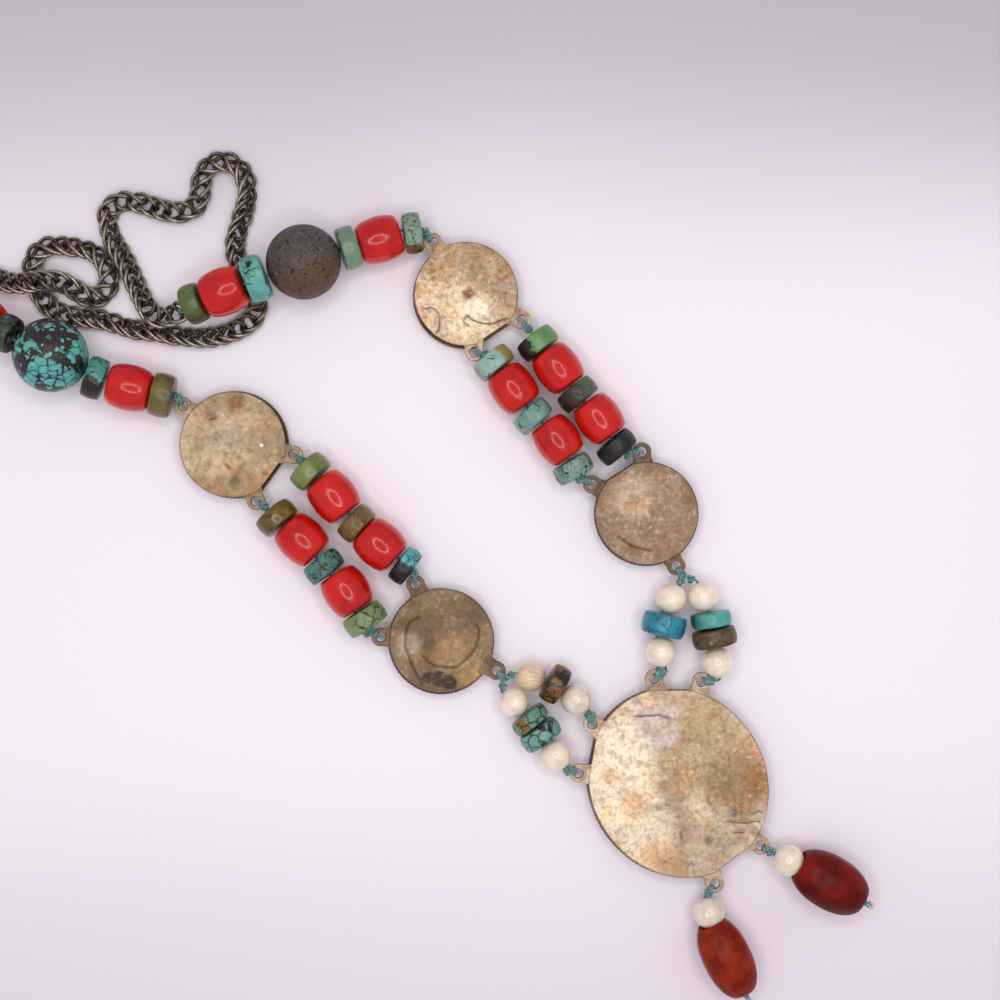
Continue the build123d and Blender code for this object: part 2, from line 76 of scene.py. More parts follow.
class Shader:
    """A material's nodes, added one by one over a first colour."""

    def __init__(self, name, seed=None, colour=None):
        self.material = bpy.data.materials.new(name)
        self.material.use_nodes = True
        self.tree = self.material.node_tree
        self.tree.nodes.clear()
        self.colour = colour
        if seed is not None:
            self.place = self.mapped(seed)

    def add(self, kind, inputs=(), **settings):
        """Adds a node, sets it up and links or sets its inputs."""
        made = self.tree.nodes.new("ShaderNode" + kind)
        for key, value in settings.items():
            setattr(made, key, value)
        for key, value in dict(inputs).items():
            if isinstance(value, bpy.types.NodeSocket):
                self.tree.links.new(value, made.inputs[key])
            else:
                made.inputs[key].default_value = linear(value) if isinstance(value, str) else value
        return made

    def mapped(self, seed):
        """The object's own coordinates in millimetres, moved for each seed."""
        place = self.add("TexCoord").outputs["Object"]
        moved = (17.3 * seed % 97, 31.7 * seed % 89, 11.9 * seed % 83)
        return self.add("Mapping", {
            "Vector": place, "Scale": (1000,) * 3, "Location": moved}).outputs[0]

    def noise(self, scale, detail=3, rough=0.55, place=None):
        """Noise from 0 to 1, its scale in waves a millimetre."""
        return self.add("TexNoise", {
            "Vector": self.place if place is None else place,
            "Scale": scale, "Detail": detail, "Roughness": rough}).outputs["Fac"]

    def fade(self, value, low, high, start=0.0, end=1.0, kind="SMOOTHSTEP"):
        """A value mapped from one range to another and held inside it."""
        return self.add("MapRange", {
            "Value": value, "From Min": low, "From Max": high, "To Min": start, "To Max": end,
        }, interpolation_type=kind).outputs[0]

    def clouds(self, scale, detail, low, high, start=0.0, end=1.0, rough=0.55, place=None):
        """Noise mapped from one range to another."""
        return self.fade(self.noise(scale, detail, rough, place), low, high, start, end)

    def math(self, operation, first, second=0.0):
        return self.add("Math", {0: first, 1: second}, operation=operation).outputs[0]

    def plus(self, first, second, times=1.0):
        """The first value plus so many times the second."""
        return self.add("Math", {0: second, 1: times, 2: first},
                        operation="MULTIPLY_ADD").outputs[0]

    def vector(self, operation, first, second, output="Vector"):
        """Vector arithmetic. To scale, the second is a number."""
        key = "Scale" if operation == "SCALE" else 1
        return self.add("VectorMath", {0: first, key: second},
                        operation=operation).outputs[output]

    def mix(self, share, first, second, blend="MIX"):
        """Two colours mixed."""
        return self.add("Mix", {0: share, 6: first, 7: second},
                        data_type="RGBA", blend_type=blend).outputs[2]

    def paint(self, share, tone, blend="MIX"):
        """Lays a tone over the colour so far."""
        self.colour = self.mix(share, self.colour, tone, blend)

    def wobble(self, scale, reach, place=None):
        """Coordinates moved about by noise, by up to reach millimetres."""
        place = self.place if place is None else place
        colour = self.add("TexNoise", {
            "Vector": place, "Scale": scale, "Detail": 2.0}).outputs["Color"]
        middle = self.vector("SUBTRACT", colour, (0.5,) * 3)
        return self.vector("ADD", place, self.vector("SCALE", middle, 2 * reach))

    def cell(self, scale, channel, place):
        """A random value for each cell of a broken pattern."""
        found = self.add("TexVoronoi", {"Vector": place, "Scale": scale})
        return self.add("SeparateColor", {0: found.outputs["Color"]}).outputs[channel]

    def cracks(self, scale, width, place):
        """Lines between the cells of a broken pattern, 1 on a line."""
        apart = self.add("TexVoronoi", {"Vector": place, "Scale": scale},
                         feature="DISTANCE_TO_EDGE").outputs[0]
        return self.fade(apart, 0.0, width * scale, 1.0, 0.0)

    def mark(self):
        """What the mesh says at each point, as Build keeps it."""
        return self.add("Attribute", attribute_name="mark").outputs["Fac"]

    def surface(self, rough, height, reach, **inputs):
        """The shader itself, its bump's reach in millimetres. Underscores stand for spaces."""
        bump = self.add("Bump", {
            "Height": height, "Distance": reach * MM, "Strength": 1.0}).outputs[0]
        made = self.add("BsdfPrincipled", {
            "Base Color": self.colour, "Roughness": rough, "Normal": bump,
            **{key.replace("_", " "): value for key, value in inputs.items()}})
        self.add("OutputMaterial", {"Surface": made.outputs[0]}, is_active_output=True)
        return self.material


def floor_material():
    """A pale lilac sweep with painted light falloff: brighter across the middle, darker towards the
    top and a little towards the bottom.
    """
    shader = Shader("floor", 0, "fef6fd")
    away = shader.add("SeparateXYZ", {0: shader.place}).outputs[1]
    bent = shader.plus(away, shader.noise(0.006, 1), 30)
    # Painted light falloff: the floor is painted darker towards its top edge and a little towards
    # its bottom edge
    for start, end, tone in ((120, 235, "cabec9"), (45, -65, "ece0ea")):
        shader.paint(shader.fade(bent, start, end, kind="SMOOTHERSTEP"), tone)
    grain = shader.noise(1.1, 4)
    shader.paint(shader.fade(grain, 0.3, 0.7, 0.0, 0.05), "cdc0ce")
    return shader.surface(0.9, grain, 0.02, Specular_IOR_Level=0.1)


def add_stage():
    """The floor, and a ring of light round the camera that the camera doesn't see."""
    build = Build()
    side = np.linspace(-1500, 1500, 31)
    build.add([[(x + VIEW_X, y + VIEW_Y, 0) for x in side] for y in side], wrap_columns=False)
    floor = build.object("floor", floor_material())

    build = Build()
    build.add([[(r * cos(t) + VIEW_X, r * sin(t) + VIEW_Y, z) for t in circle(96)]
               for r, z in ((142, 452), (190, 446))])
    lamp = Shader("ring_light")
    glow = lamp.add("Emission", {"Color": (1.0, 0.985, 0.97, 1), "Strength": 7.4})
    lamp.add("OutputMaterial", {"Surface": glow.outputs[0]})
    ring = build.object("ring_light", lamp.material)
    ring.visible_camera = False
    ring.visible_shadow = False

    world = bpy.data.worlds.new("world")
    world.use_nodes = True
    background = world.node_tree.nodes["Background"]
    background.inputs["Color"].default_value = (0.80, 0.77, 0.83, 1)
    background.inputs["Strength"].default_value = 0.70
    bpy.context.scene.world = world
    bpy.context.scene.view_settings.view_transform = "Standard"


# Mesh helpers. Points are arrays in millimetres.

def circle(count):
    """The angles of points round a circle."""
    return np.linspace(0, 2 * pi, count, endpoint=False)


def smooth_step(share):
    return share * share * (3 - 2 * share)


def wave(x, y, z):
    """Smooth noise from -1 to 1."""
    return noise.noise(Vector((x, y, z)))


def lifted(rise):
    return np.array((0, 0, rise))


class Build:
    """Collects the shells of one piece."""

    def __init__(self):
        self.verts = []
        self.faces = []
        self.marks = []
        self.count = 0

    def add(self, rows, mark=0.0, wrap_rows=False, wrap_columns=True, caps=False):
        """Adds a shell of rows of points. Mark is a number a point, which a material may read."""
        rows = np.asarray(rows, float)
        height, width = rows.shape[:2]
        index = np.arange(height * width).reshape(height, width) + self.count
        ends = [index[0, ::-1].tolist(), index[-1].tolist()]
        if wrap_rows:
            index = np.vstack([index, index[:1]])
        if wrap_columns:
            index = np.hstack([index, index[:, :1]])
        corners = (index[:-1, :-1], index[:-1, 1:], index[1:, 1:], index[1:, :-1])
        self.faces += np.stack(corners, axis=2).reshape(-1, 4).tolist()
        if caps:
            self.faces += ends
        self.verts.append(rows.reshape(-1, 3))
        self.marks.append(np.broadcast_to(mark, (height, width)).ravel())
        self.count += height * width

    def object(self, name, material, matrix=None):
        """The piece as an object."""
        mesh = bpy.data.meshes.new(name)
        mesh.from_pydata((np.vstack(self.verts) * MM).tolist(), [], self.faces)
        mesh.polygons.foreach_set("use_smooth", [True] * len(mesh.polygons))
        mesh.materials.append(material)
        marks = np.concatenate(self.marks).astype(np.float32)
        if marks.any():
            mesh.attributes.new("mark", "FLOAT", "POINT").data.foreach_set("value", marks)
        mesh.validate()
        made = bpy.data.objects.new(name, mesh)
        bpy.context.scene.collection.objects.link(made)
        if matrix is not None:
            made.matrix_world = matrix
        return made


def keep(made, slot, *nodes):
    """Puts a finished piece on the necklace in place of its CAD nodes."""
    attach(made, "root")
    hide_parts(*nodes)


def spokes(points, sides, closed=False):
    """Directions out of a path to the sides of a tube round it, with the least twist."""
    if closed:
        ahead = np.roll(points, -1, 0) - np.roll(points, 1, 0)
    else:
        ahead = np.gradient(points, axis=0)
    ahead /= np.linalg.norm(ahead, axis=1)[:, None]
    side = np.cross(ahead[0], (0, 0, 1))
    if np.linalg.norm(side) < 0.1:
        side = np.cross(ahead[0], (1, 0, 0))
    across = []
    for direction in ahead:
        side = side - direction * side.dot(direction)
        side /= np.linalg.norm(side)
        across.append(side)
    across = np.array(across)
    turns = circle(sides)[:, None]
    return across[:, None] * np.cos(turns) + np.cross(ahead, across)[:, None] * np.sin(turns)


def tube(build, points, radius, sides=8, closed=False, mark=0.0):
    """A tube along points. Its radius and mark are one number, or rows of them like its points."""
    points = np.asarray(points, float)
    radius = np.broadcast_to(radius, (len(points), sides))[:, :, None]
    build.add(points[:, None] + spokes(points, sides, closed) * radius, mark,
              wrap_rows=closed, caps=not closed)


def distances(line):
    """How far along a line each of its points is."""
    return np.concatenate([[0], np.cumsum(np.linalg.norm(np.diff(line, axis=0), axis=1))])


def smooth_line(points, steps=8):
    """A smooth line through points."""
    points = [np.asarray(p, float) for p in points]
    padded = [2 * points[0] - points[1]] + points + [2 * points[-1] - points[-2]]
    line = []
    for a, b, c, d in zip(padded, padded[1:], padded[2:], padded[3:]):
        for t in np.linspace(0, 1, steps, endpoint=False):
            line.append(0.5 * (2 * b + (c - a) * t + (2 * a - 5 * b + 4 * c - d) * t ** 2
                               + (3 * b - a - 3 * c + d) * t ** 3))
    line.append(points[-1])
    return np.array(line)


def wander(points, reach, scale, seed):
    """Points moved about by smooth noise."""
    moved = Vector((seed, 3.1 * seed, 0))
    return np.array([np.array(p) + reach * np.array(noise.noise_vector(Vector(p) * scale + moved))
                     for p in points])


# What the CAD nodes say: where each bead's bore runs and where each lug's hole is.

Spot = namedtuple("Spot", "centre axis length radius enter leave")


def welded(node):
    """A node's points in millimetres and its triangles."""
    mesh = frame["nodes"][node].data
    mesh.calc_loop_triangles()
    flat = np.empty(len(mesh.vertices) * 3, np.float32)
    mesh.vertices.foreach_get("co", flat)
    corners = np.empty(len(mesh.loop_triangles) * 3, np.int32)
    mesh.loop_triangles.foreach_get("vertices", corners)
    rounded = np.round(flat.reshape(-1, 3).astype(float) / MM * 1000)
    points, index = np.unique(rounded, axis=0, return_inverse=True)
    return points / 1000, index.reshape(-1)[corners].reshape(-1, 3)


def loose_parts(count, triangles):
    """A number for each point, the same for all points of one solid."""
    label = np.arange(count)
    while True:
        before = label.copy()
        low = label[triangles].min(1)
        for corner in range(3):
            np.minimum.at(label, triangles[:, corner], low)
        label = label[label]
        if (label == before).all():
            return label


def sharp_rims(points, triangles, low, high):
    """Sharp-edged circles with a radius between two limits, as lists of points."""
    a, b, c = (points[triangles[:, i]] for i in range(3))
    normals = np.cross(b - a, c - a)
    normals /= np.maximum(np.linalg.norm(normals, axis=1), 1e-12)[:, None]
    edges = np.sort(np.vstack([triangles[:, pair] for pair in ([0, 1], [1, 2], [2, 0])]), axis=1)
    order = np.lexsort((edges[:, 1], edges[:, 0]))
    edges = edges[order]
    face = np.tile(np.arange(len(triangles)), 3)[order]
    first = np.flatnonzero((edges[1:] == edges[:-1]).all(1))
    sharp = (normals[face[first]] * normals[face[first + 1]]).sum(1) < cos(radians(50))
    beside = {}
    for i, j in edges[first[sharp]].tolist():
        beside.setdefault(i, []).append(j)
        beside.setdefault(j, []).append(i)
    rims = []
    left = set(beside)
    while left:
        stack = [left.pop()]
        rim = []
        while stack:
            rim.append(stack.pop())
            for i in beside[rim[-1]]:
                if i in left:
                    left.remove(i)
                    stack.append(i)
        ring = points[rim]
        away = np.linalg.norm(ring - ring.mean(0), axis=1)
        if len(rim) >= 6 and low < away.mean() < high and away.std() < 0.08:
            rims.append(ring)
    return rims


def bead_spots(node):
    """The beads of a node: where they sit, their axes and bores."""
    points, triangles = welded(node)
    label = loose_parts(len(points), triangles)
    spots = []
    for part in np.unique(label[triangles[:, 0]]):
        own = triangles[label[triangles[:, 0]] == part]
        ends = [rim.mean(0) for rim in sharp_rims(points, own, 0.6, 1.0)]
        first, last = max(((p, q) for p in ends for q in ends),
                          key=lambda pair: np.linalg.norm(pair[1] - pair[0]))
        axis = (last - first) / np.linalg.norm(last - first)
        side = np.cross(axis, (0, 0, 1))
        side /= np.linalg.norm(side)
        ways = (axis, side, np.cross(side, axis))
        spans = [points[np.unique(own)] @ way for way in ways]
        middle = sum(way * (span.min() + span.max()) / 2 for way, span in zip(ways, spans))
        length, wide, deep = (span.max() - span.min() for span in spans)
        spots.append(Spot(middle, axis, length, max(wide, deep) / 2, first, last))
    return spots


def level_way(heading):
    """A level direction."""
    return np.array((cos(radians(heading)), sin(radians(heading)), 0))


def walked(nodes, heading):
    """The beads of a string in order, each with its node and its axis the way that it is walked."""
    along = level_way(heading)
    spots = []
    for node in nodes:
        for spot in sorted(bead_spots(node), key=lambda spot: spot.centre @ along):
            if spot.axis @ along < 0:
                spot = spot._replace(axis=-spot.axis, enter=spot.leave, leave=spot.enter)
            spots.append((node, spot))
    return spots


def lug_holes(node):
    """Middles of a medallion's lug holes, at the top of its plate."""
    points, triangles = welded(node)
    top = points[:, 2].max()
    return [rim.mean(0) for rim in sharp_rims(points, triangles, 1.1, 1.3)
            if rim[:, 2].min() > top - 0.05]


def bead_matrix(spot):
    """A bead's place: Z along its axis and Y up from the surface."""
    axis = Vector(spot.axis)
    side = UP.cross(axis).normalized()
    turn = Matrix((side, axis.cross(side), axis)).transposed().to_4x4()
    return Matrix.Translation(Vector(spot.centre) * MM) @ turn


# Beads

BORE = 0.8
# A kind's radius at its faces as a share of its largest one, the reach of its soft edge and
# how uneven it is. Round beads have no faces.
KINDS = {"disc": (0.92, 0.8, 0.05), "coral": (0.80, 1.7, 0.022),
         "small_bead": (None, None, 0.008), "big_bead": (None, None, 0.012)}


def bead_profile(spot, kind):
    """A bead's outline as rows of place along the axis and radius, from bore rim to bore rim."""
    end = spot.length / 2
    radius = spot.radius
    face_share, soft, _ = KINDS[kind]
    if face_share is None:
        start = atan2(BORE, sqrt(radius ** 2 - BORE ** 2))
        return [(radius * cos(t), radius * sin(t)) for t in np.linspace(start, pi - start, 41)]
    face = radius * face_share
    bulge = (end ** 2 + (radius - face) ** 2) / (2 * (radius - face))
    inner = face - soft * 0.8
    rows = [(end, r) for r in np.linspace(BORE, inner, 6)]
    belly_start = end - soft * 0.75
    edge = radius - bulge + sqrt(bulge ** 2 - belly_start ** 2)
    corner = np.array((end, face + 0.1))
    first, last = np.array((end, inner)), np.array((belly_start, edge))
    for t in np.linspace(0, 1, 8)[1:]:
        rows.append(tuple((1 - t) ** 2 * first + 2 * t * (1 - t) * corner + t ** 2 * last))
    for place in np.linspace(belly_start, 0, 8)[1:]:
        rows.append((place, radius - bulge + sqrt(bulge ** 2 - place ** 2)))
    return rows + [(-place, r) for place, r in rows[-2::-1]]


def turned_bead(build, spot, kind, seed):
    """A bead in its own frame, a little out of round, with its bore where the thread runs."""
    outline = np.array(bead_profile(spot, kind))
    around = 60
    turns = circle(around)
    inside = bead_matrix(spot).inverted() @ (Vector((spot.enter + spot.leave) / 2) * MM)
    bore = np.array(inside)[:2] / MM
    place, radius = outline[:, 0], outline[:, 1]
    share = smooth_step(np.clip((radius - BORE) / max(spot.radius * 0.6 - BORE, 0.1), 0, 1))
    verts = np.empty((len(outline) + 2, around, 3))
    verts[1:-1, :, 0] = radius[:, None] * np.cos(turns) + bore[0] * (1 - share)[:, None]
    verts[1:-1, :, 1] = radius[:, None] * np.sin(turns) + bore[1] * (1 - share)[:, None]
    verts[1:-1, :, 2] = place[:, None]
    for row, grow in enumerate(share, start=1):
        if grow < 0.05:
            continue
        for column in range(around):
            p = verts[row, column] / spot.radius
            slow = wave(*(p * 1.1 + (seed, 7.3 * seed, 0)))
            quick = wave(*(p * 3.2 + (5 * seed, seed, 3)))
            shrink = KINDS[kind][2] * grow * (0.5 + 0.5 * slow + 0.25 * quick)
            verts[row, column] *= (1 - shrink, 1 - shrink, 1 - 0.6 * shrink)
    # The bore's walls start just inside its rims
    for row, beside in ((0, 1), (-1, -2)):
        verts[row] = verts[beside] * (1, 1, 0.93)
    build.add(verts, wrap_rows=True)


def faceted_drop(build, spot):
    """A barrel with eight long faces, worn so round that they only just show."""
    turns = circle(64)
    apart = (turns + pi / 8) % (pi / 4) - pi / 8
    round_ring = np.ones(64)
    faces = 0.3 * cos(pi / 8) / np.cos(apart) + 0.7
    end = spot.length / 2
    # Rows of place and radius: up the bore, over the first end, the barrel and the other end
    rows = [(1.7 - end, BORE * round_ring), (1.5 - end, 2.4 * round_ring),
            (0.3 - end, 0.52 * spot.radius * faces)]
    for share in np.linspace(-0.49, 0.49, 40):
        radius = sqrt(1 - abs(share / 0.57) ** 2.3) * spot.radius
        rows.append((share * spot.length, radius * faces))
    tip = rows[-1][1]
    rows += [(0.497 * spot.length, 0.95 * tip), (end, 0.86 * tip), (end, 1.2 * round_ring),
             (0.485 * spot.length, BORE * round_ring)]
    verts = [(radius * np.cos(turns), radius * np.sin(turns), place * round_ring)
             for place, radius in rows]
    build.add(np.stack(verts).transpose(0, 2, 1), wrap_rows=True)


BLACK = "0e0b0b"


def stone_material(name, look, spot, seed):
    """Turquoise and its kin: a mottled ground with speckle, host rock, veins and toned ends."""
    shader = Shader(name, seed, look["base"])
    bent = shader.wobble(0.55, 0.7)
    ground = shader.clouds(look.get("mottle", 0.35), 5, 0.32, 0.68, rough=0.6, place=bent)
    shader.paint(ground, look["shade"])
    fine = shader.noise(2.4, 3, 0.6)
    shader.paint(shader.fade(fine, 0.45, 0.75, 0.0, 0.35), look["shade"])
    dents = shader.math("MULTIPLY", shader.noise(0.9, 4), 0.6)

    def along(heading, lean=1.0):
        """How far each point lies from the bead's middle in a level direction."""
        way = bead_matrix(spot).to_3x3().inverted() @ Vector(level_way(heading))
        return shader.vector("DOT_PRODUCT", shader.mapped(0), way * lean, "Value")

    for heading, start, end, tone in look.get("ends", ()):
        ragged = shader.plus(along(heading), shader.noise(0.6, 5), 4.0)
        shader.paint(shader.fade(ragged, start + 2, end + 2), tone)
    for scale, level, width, host, heading, lean in look.get("cells", ()):
        broken = shader.wobble(0.5, 0.8)
        slow = shader.fade(shader.noise(0.11, 2), 0.38, 0.62, -0.3, 0.3, "LINEAR")
        drawn = shader.plus(shader.plus(shader.cell(scale, 0, broken), slow), along(heading, lean))
        islands = shader.fade(shader.cell(2.6 * scale, 1, broken), 0.86, 0.88)
        stone = shader.math("MAXIMUM", shader.fade(drawn, level, level + 0.02), islands)
        whole = shader.plus(1.0, shader.cracks(scale, width, broken), -1)
        stone = shader.math("MULTIPLY", stone, whole)
        rock = shader.mix(shader.clouds(1.3, 3, 0.35, 0.65), host, BLACK)
        shader.colour = shader.mix(stone, rock, shader.colour)
        dents = shader.plus(dents, stone, 0.6)
    for tone, scale, level, edge in look.get("patches", ()):
        field = shader.noise(scale, 2, 0.5, shader.wobble(1.1, 0.35))
        shader.paint(shader.fade(field, level - 0.045, level, 0.0, 0.75), "161210")
        inside = shader.fade(field, level, level + edge)
        shader.paint(inside, tone)
        dents = shader.plus(dents, inside, -0.5)
    for tone, scale, width, level in look.get("veins", ()):
        lines = shader.cracks(scale, width, shader.wobble(0.8, 0.8))
        lines = shader.math("MULTIPLY", lines, shader.clouds(0.22, 2, level, level + 0.08))
        shader.paint(lines, tone)
        dents = shader.plus(dents, lines, -1)
    for tone, scale, level in look.get("speckle", ()):
        dots = shader.clouds(scale, 2, level, level + 0.07, rough=0.7, place=bent)
        shader.paint(dots, tone)
        dents = shader.plus(dents, dots, -0.5)
    rough = look.get("rough", 0.3)
    return shader.surface(shader.fade(fine, 0.3, 0.7, rough * 0.8, rough * 1.3), dents,
                          look.get("bump", 0.10), Specular_IOR_Level=look.get("gloss", 0.45),
                          Coat_Weight=look.get("coat", 0.06), Coat_Roughness=0.25)


def coral_material(name, seed):
    """Dyed bamboo coral: glossy, deep orange-red, faintly pitted."""
    shader = Shader(name, seed, "ce1a10")
    shader.paint(shader.clouds(0.16, 3, 0.35, 0.65), "b80d0a")
    pits = shader.clouds(0.8, 5, 0.60, 0.74, rough=0.7, place=shader.wobble(1.5, 0.3))
    shader.paint(shader.math("MULTIPLY", pits, 0.5), "800608")
    shader.paint(shader.clouds(0.5, 2, 0.58, 0.75, 0.0, 0.35), "d62e20")
    return shader.surface(shader.clouds(1.3, 3, 0.3, 0.7, 0.16, 0.30),
                          shader.plus(shader.noise(0.45, 3), pits, -0.25), 0.10,
                          Specular_IOR_Level=0.25, Coat_Weight=0.6, Coat_Roughness=0.03,
                          Coat_IOR=1.35, Subsurface_Weight=0.06, Subsurface_Scale=0.001)


def ivory_material(name, seed, banded, tone, shade):
    """Bone or shell beads: cream, with faint growth bands."""
    shader = Shader(name, seed, tone)
    across = shader.add("SeparateXYZ", {0: shader.wobble(0.3, 1.0)}).outputs[0]
    bands = shader.math("SINE", shader.math("MULTIPLY", across, 5.6 if banded else 1.7))
    soft = shader.plus(shader.noise(0.4, 4), bands, 0.12 if banded else 0.05)
    shader.paint(shader.fade(soft, 0.3, 0.8), shade)
    fine = shader.noise(2.8, 4, 0.65)
    shader.paint(shader.fade(fine, 0.58, 0.72, 0.0, 0.4), "b0967c")
    return shader.surface(shader.fade(fine, 0.3, 0.7, 0.26, 0.42), shader.plus(fine, bands, 0.10),
                          0.03, Specular_IOR_Level=0.4, Coat_Weight=1.0, Coat_Roughness=0.03,
                          Subsurface_Weight=0.12, Subsurface_Scale=0.0015)


def carnelian_material(name, seed, light, dark):
    """Clear red-brown stone, cloudy inside."""
    shader = Shader(name, seed, dark)
    shader.paint(shader.clouds(0.14, 4, 0.38, 0.66, place=shader.wobble(0.2, 2.0)), light)
    shader.paint(shader.clouds(0.7, 3, 0.66, 0.8, 0.0, 0.3), "280804")
    return shader.surface(shader.clouds(1.8, 3, 0.3, 0.7, 0.36, 0.46), shader.noise(0.35, 2), 0.06,
                          Specular_IOR_Level=0.14, Coat_Weight=0.03, Coat_Roughness=0.15,
                          Subsurface_Weight=0.1, Subsurface_Scale=0.002)


# A stone's ground is base and shade. Its other rows:
# ends: heading, where it starts and is full, colour
# cells: scale, level, width of the cracks, host rock, heading, lean towards it
# patches: colour, scale, level, edge
# veins: colour, scale, width, level
# speckle: colour, scale, level
STONES = {
    "speckled_teal": dict(base="86a496", shade="627e74", mottle=0.6, speckle=[("181e1e", 0.8, 0.55),
        ("181e1e", 1.6, 0.62)], rough=0.4),
    "veined_teal": dict(base="7ea496", shade="628a7e", veins=[(BLACK, 0.26, 0.42, 0.48),
        (BLACK, 0.5, 0.22, 0.56)], speckle=[("181a18", 0.7, 0.66)]),
    "pale_olive_end": dict(base="a0beb0", shade="84a698", ends=[(38, 1.6, 3.0, "8e7e3e"),
        (218, 3.6, 5.6, "808058")], veins=[("221a0e", 0.22, 0.22, 0.54)],
        speckle=[(BLACK, 0.8, 0.68)]),
    "black": dict(base="1a171a", shade="0c0a0b", mottle=0.5, speckle=[("36261c", 1.0, 0.62)],
        veins=[("040404", 0.2, 0.5, 0.42)], rough=0.45, coat=0.1, gloss=0.4),
    "dark_olive": dict(base="3e3016", shade="281e0c", ends=[(38, 0.0, 2.5, "485c42")],
        speckle=[("1e1e14", 0.6, 0.62)], veins=[("1a140a", 0.2, 0.3, 0.5)]),
    "green_black_end": dict(base="729864", shade="527e4a", ends=[(206, 1.9, 2.5, "14120c")],
        speckle=[("805c22", 0.55, 0.7)], coat=0.2),
    "half_black": dict(base="62b4b6", shade="429296", ends=[(228, -1.6, -0.8, BLACK)],
        cells=[(0.42, -0.1, 0.16, "221818", 0, 0.0)]),
    "olive_brown": dict(base="76541c", shade="543810", ends=[(40, 2.0, 6.0, "766c3a")],
        speckle=[("987a36", 0.5, 0.62)], veins=[("34240c", 0.2, 0.2, 0.5)], coat=0.25),
    "olive_green": dict(base="808a4e", shade="647236", mottle=0.22,
        veins=[("545c28", 0.2, 0.3, 0.5)], coat=0.25),
    "veined_green": dict(base="809462", shade="687e50", veins=[("181810", 0.24, 0.3, 0.46),
        ("181810", 0.5, 0.08, 0.6)], mottle=0.2),
    "dark_teal": dict(base="4c8676", shade="305850", mottle=0.55, speckle=[("261e1a", 0.55, 0.52),
        ("141e1c", 1.3, 0.58)], rough=0.38),
    "golden_olive": dict(base="765c16", shade="543e0e", ends=[(222, 1.5, 5.5, "543c18")], coat=0.4,
        rough=0.22, speckle=[("402c0c", 0.4, 0.6)]),
    "sky_blue": dict(base="288aa0", shade="1a7086", mottle=0.18,
        veins=[("0c1e24", 0.24, 0.12, 0.42), ("0c1e24", 0.6, 0.08, 0.55)], coat=0.3, rough=0.25),
    "sea_green": dict(base="5caca2", shade="44948a", mottle=0.3, ends=[(185, 2.2, 5.0, "0e544c")],
        speckle=[("183c36", 0.9, 0.66)]),
    "olive_cracked": dict(base="5c502a", shade="443a1c", veins=[("a09268", 0.2, 0.06, 0.62),
        ("221a0e", 0.26, 0.2, 0.42)], speckle=[("827846", 0.35, 0.72)]),
    "amber_black": dict(base="845416", shade="60360c", mottle=0.25,
        patches=[("1e140e", 0.2, 0.54, 0.02)], veins=[(BLACK, 0.3, 0.4, 0.36)],
        speckle=[("7a6828", 0.45, 0.66)], coat=0.2),
    "matrix_turquoise": dict(base="70a89e", shade="58928a",
        cells=[(0.34, -0.05, 0.3, "4a3622", 0, 0.0)], speckle=[("46341e", 0.6, 0.62)]),
    "amber_turquoise": dict(base="68947a", shade="58846c", ends=[(215, 0.0, 2.0, "845c1e"),
        (215, 3.0, 4.0, "608a76")], veins=[("1c180e", 0.24, 0.36, 0.34)]),
    "pale_rust": dict(base="88a48c", shade="6a846e", mottle=0.8, speckle=[("404430", 1.2, 0.56)],
        veins=[("1e1c14", 0.2, 0.22, 0.5)], ends=[(270, 3.4, 4.2, "683a14")], rough=0.42),
    "smooth_green": dict(base="789478", shade="648268", mottle=0.15,
        ends=[(190, 1.2, 2.6, "283828")], speckle=[("46604a", 1.4, 0.66)], coat=0.2),
    "blue_matrix": dict(base="68b0a6", shade="52968e", patches=[("101616", 0.26, 0.62, 0.02)],
        veins=[(BLACK, 0.26, 0.2, 0.52), (BLACK, 0.6, 0.12, 0.6)]),
    "leaf_green": dict(base="546832", shade="425624", mottle=0.2, ends=[(290, 2.0, 4.5, "423e16")],
        speckle=[("2c3a16", 0.9, 0.66)], coat=0.2),
    "olive_yellow": dict(base="746420", shade="584c18", mottle=0.25, ends=[(5, 1.5, 3.0, "584c2e")],
        speckle=[("545832", 0.5, 0.6)], coat=0.25),
    "nugget": dict(base="48968a", shade="347a70", ends=[(255, 0.5, 1.5, "221610")],
        patches=[("261814", 0.24, 0.52, 0.02)], veins=[(BLACK, 0.3, 0.24, 0.42)]),
    "big_matrix": dict(base="68bab0", shade="489c98", mottle=0.4,
        cells=[(0.4, 0.64, 0.22, "342626", -55, 0.05)], coat=0.05, rough=0.42),
    "big_brown": dict(base="605654", shade="3a3232", mottle=0.8, ends=[(290, -1.0, 5.0, "5c4432")],
        speckle=[("866242", 0.8, 0.6), ("1e1816", 1.0, 0.58), ("707a70", 0.7, 0.7)], rough=0.55,
        coat=0.05, gloss=0.35, bump=0.25),
    "dark_patch": dict(base="3a503a", shade="22261e", cells=[(0.42, 0.5, 0.16, "221816", 0, 0.0)],
        speckle=[("608c74", 0.45, 0.66)]),
}
# Whether banded, and the two tones
IVORY = {"cream": (False, "fceeda", "ead4b8"),
         "grey_cream": (False, "f0e4d0", "d4c4aa"),
         "yellow_cream": (True, "e8d0ae", "d4b48c")}
CARNELIAN = {"dark_carnelian": ("7e1207", "580603"),
             "brown_carnelian": ("962a06", "721602")}
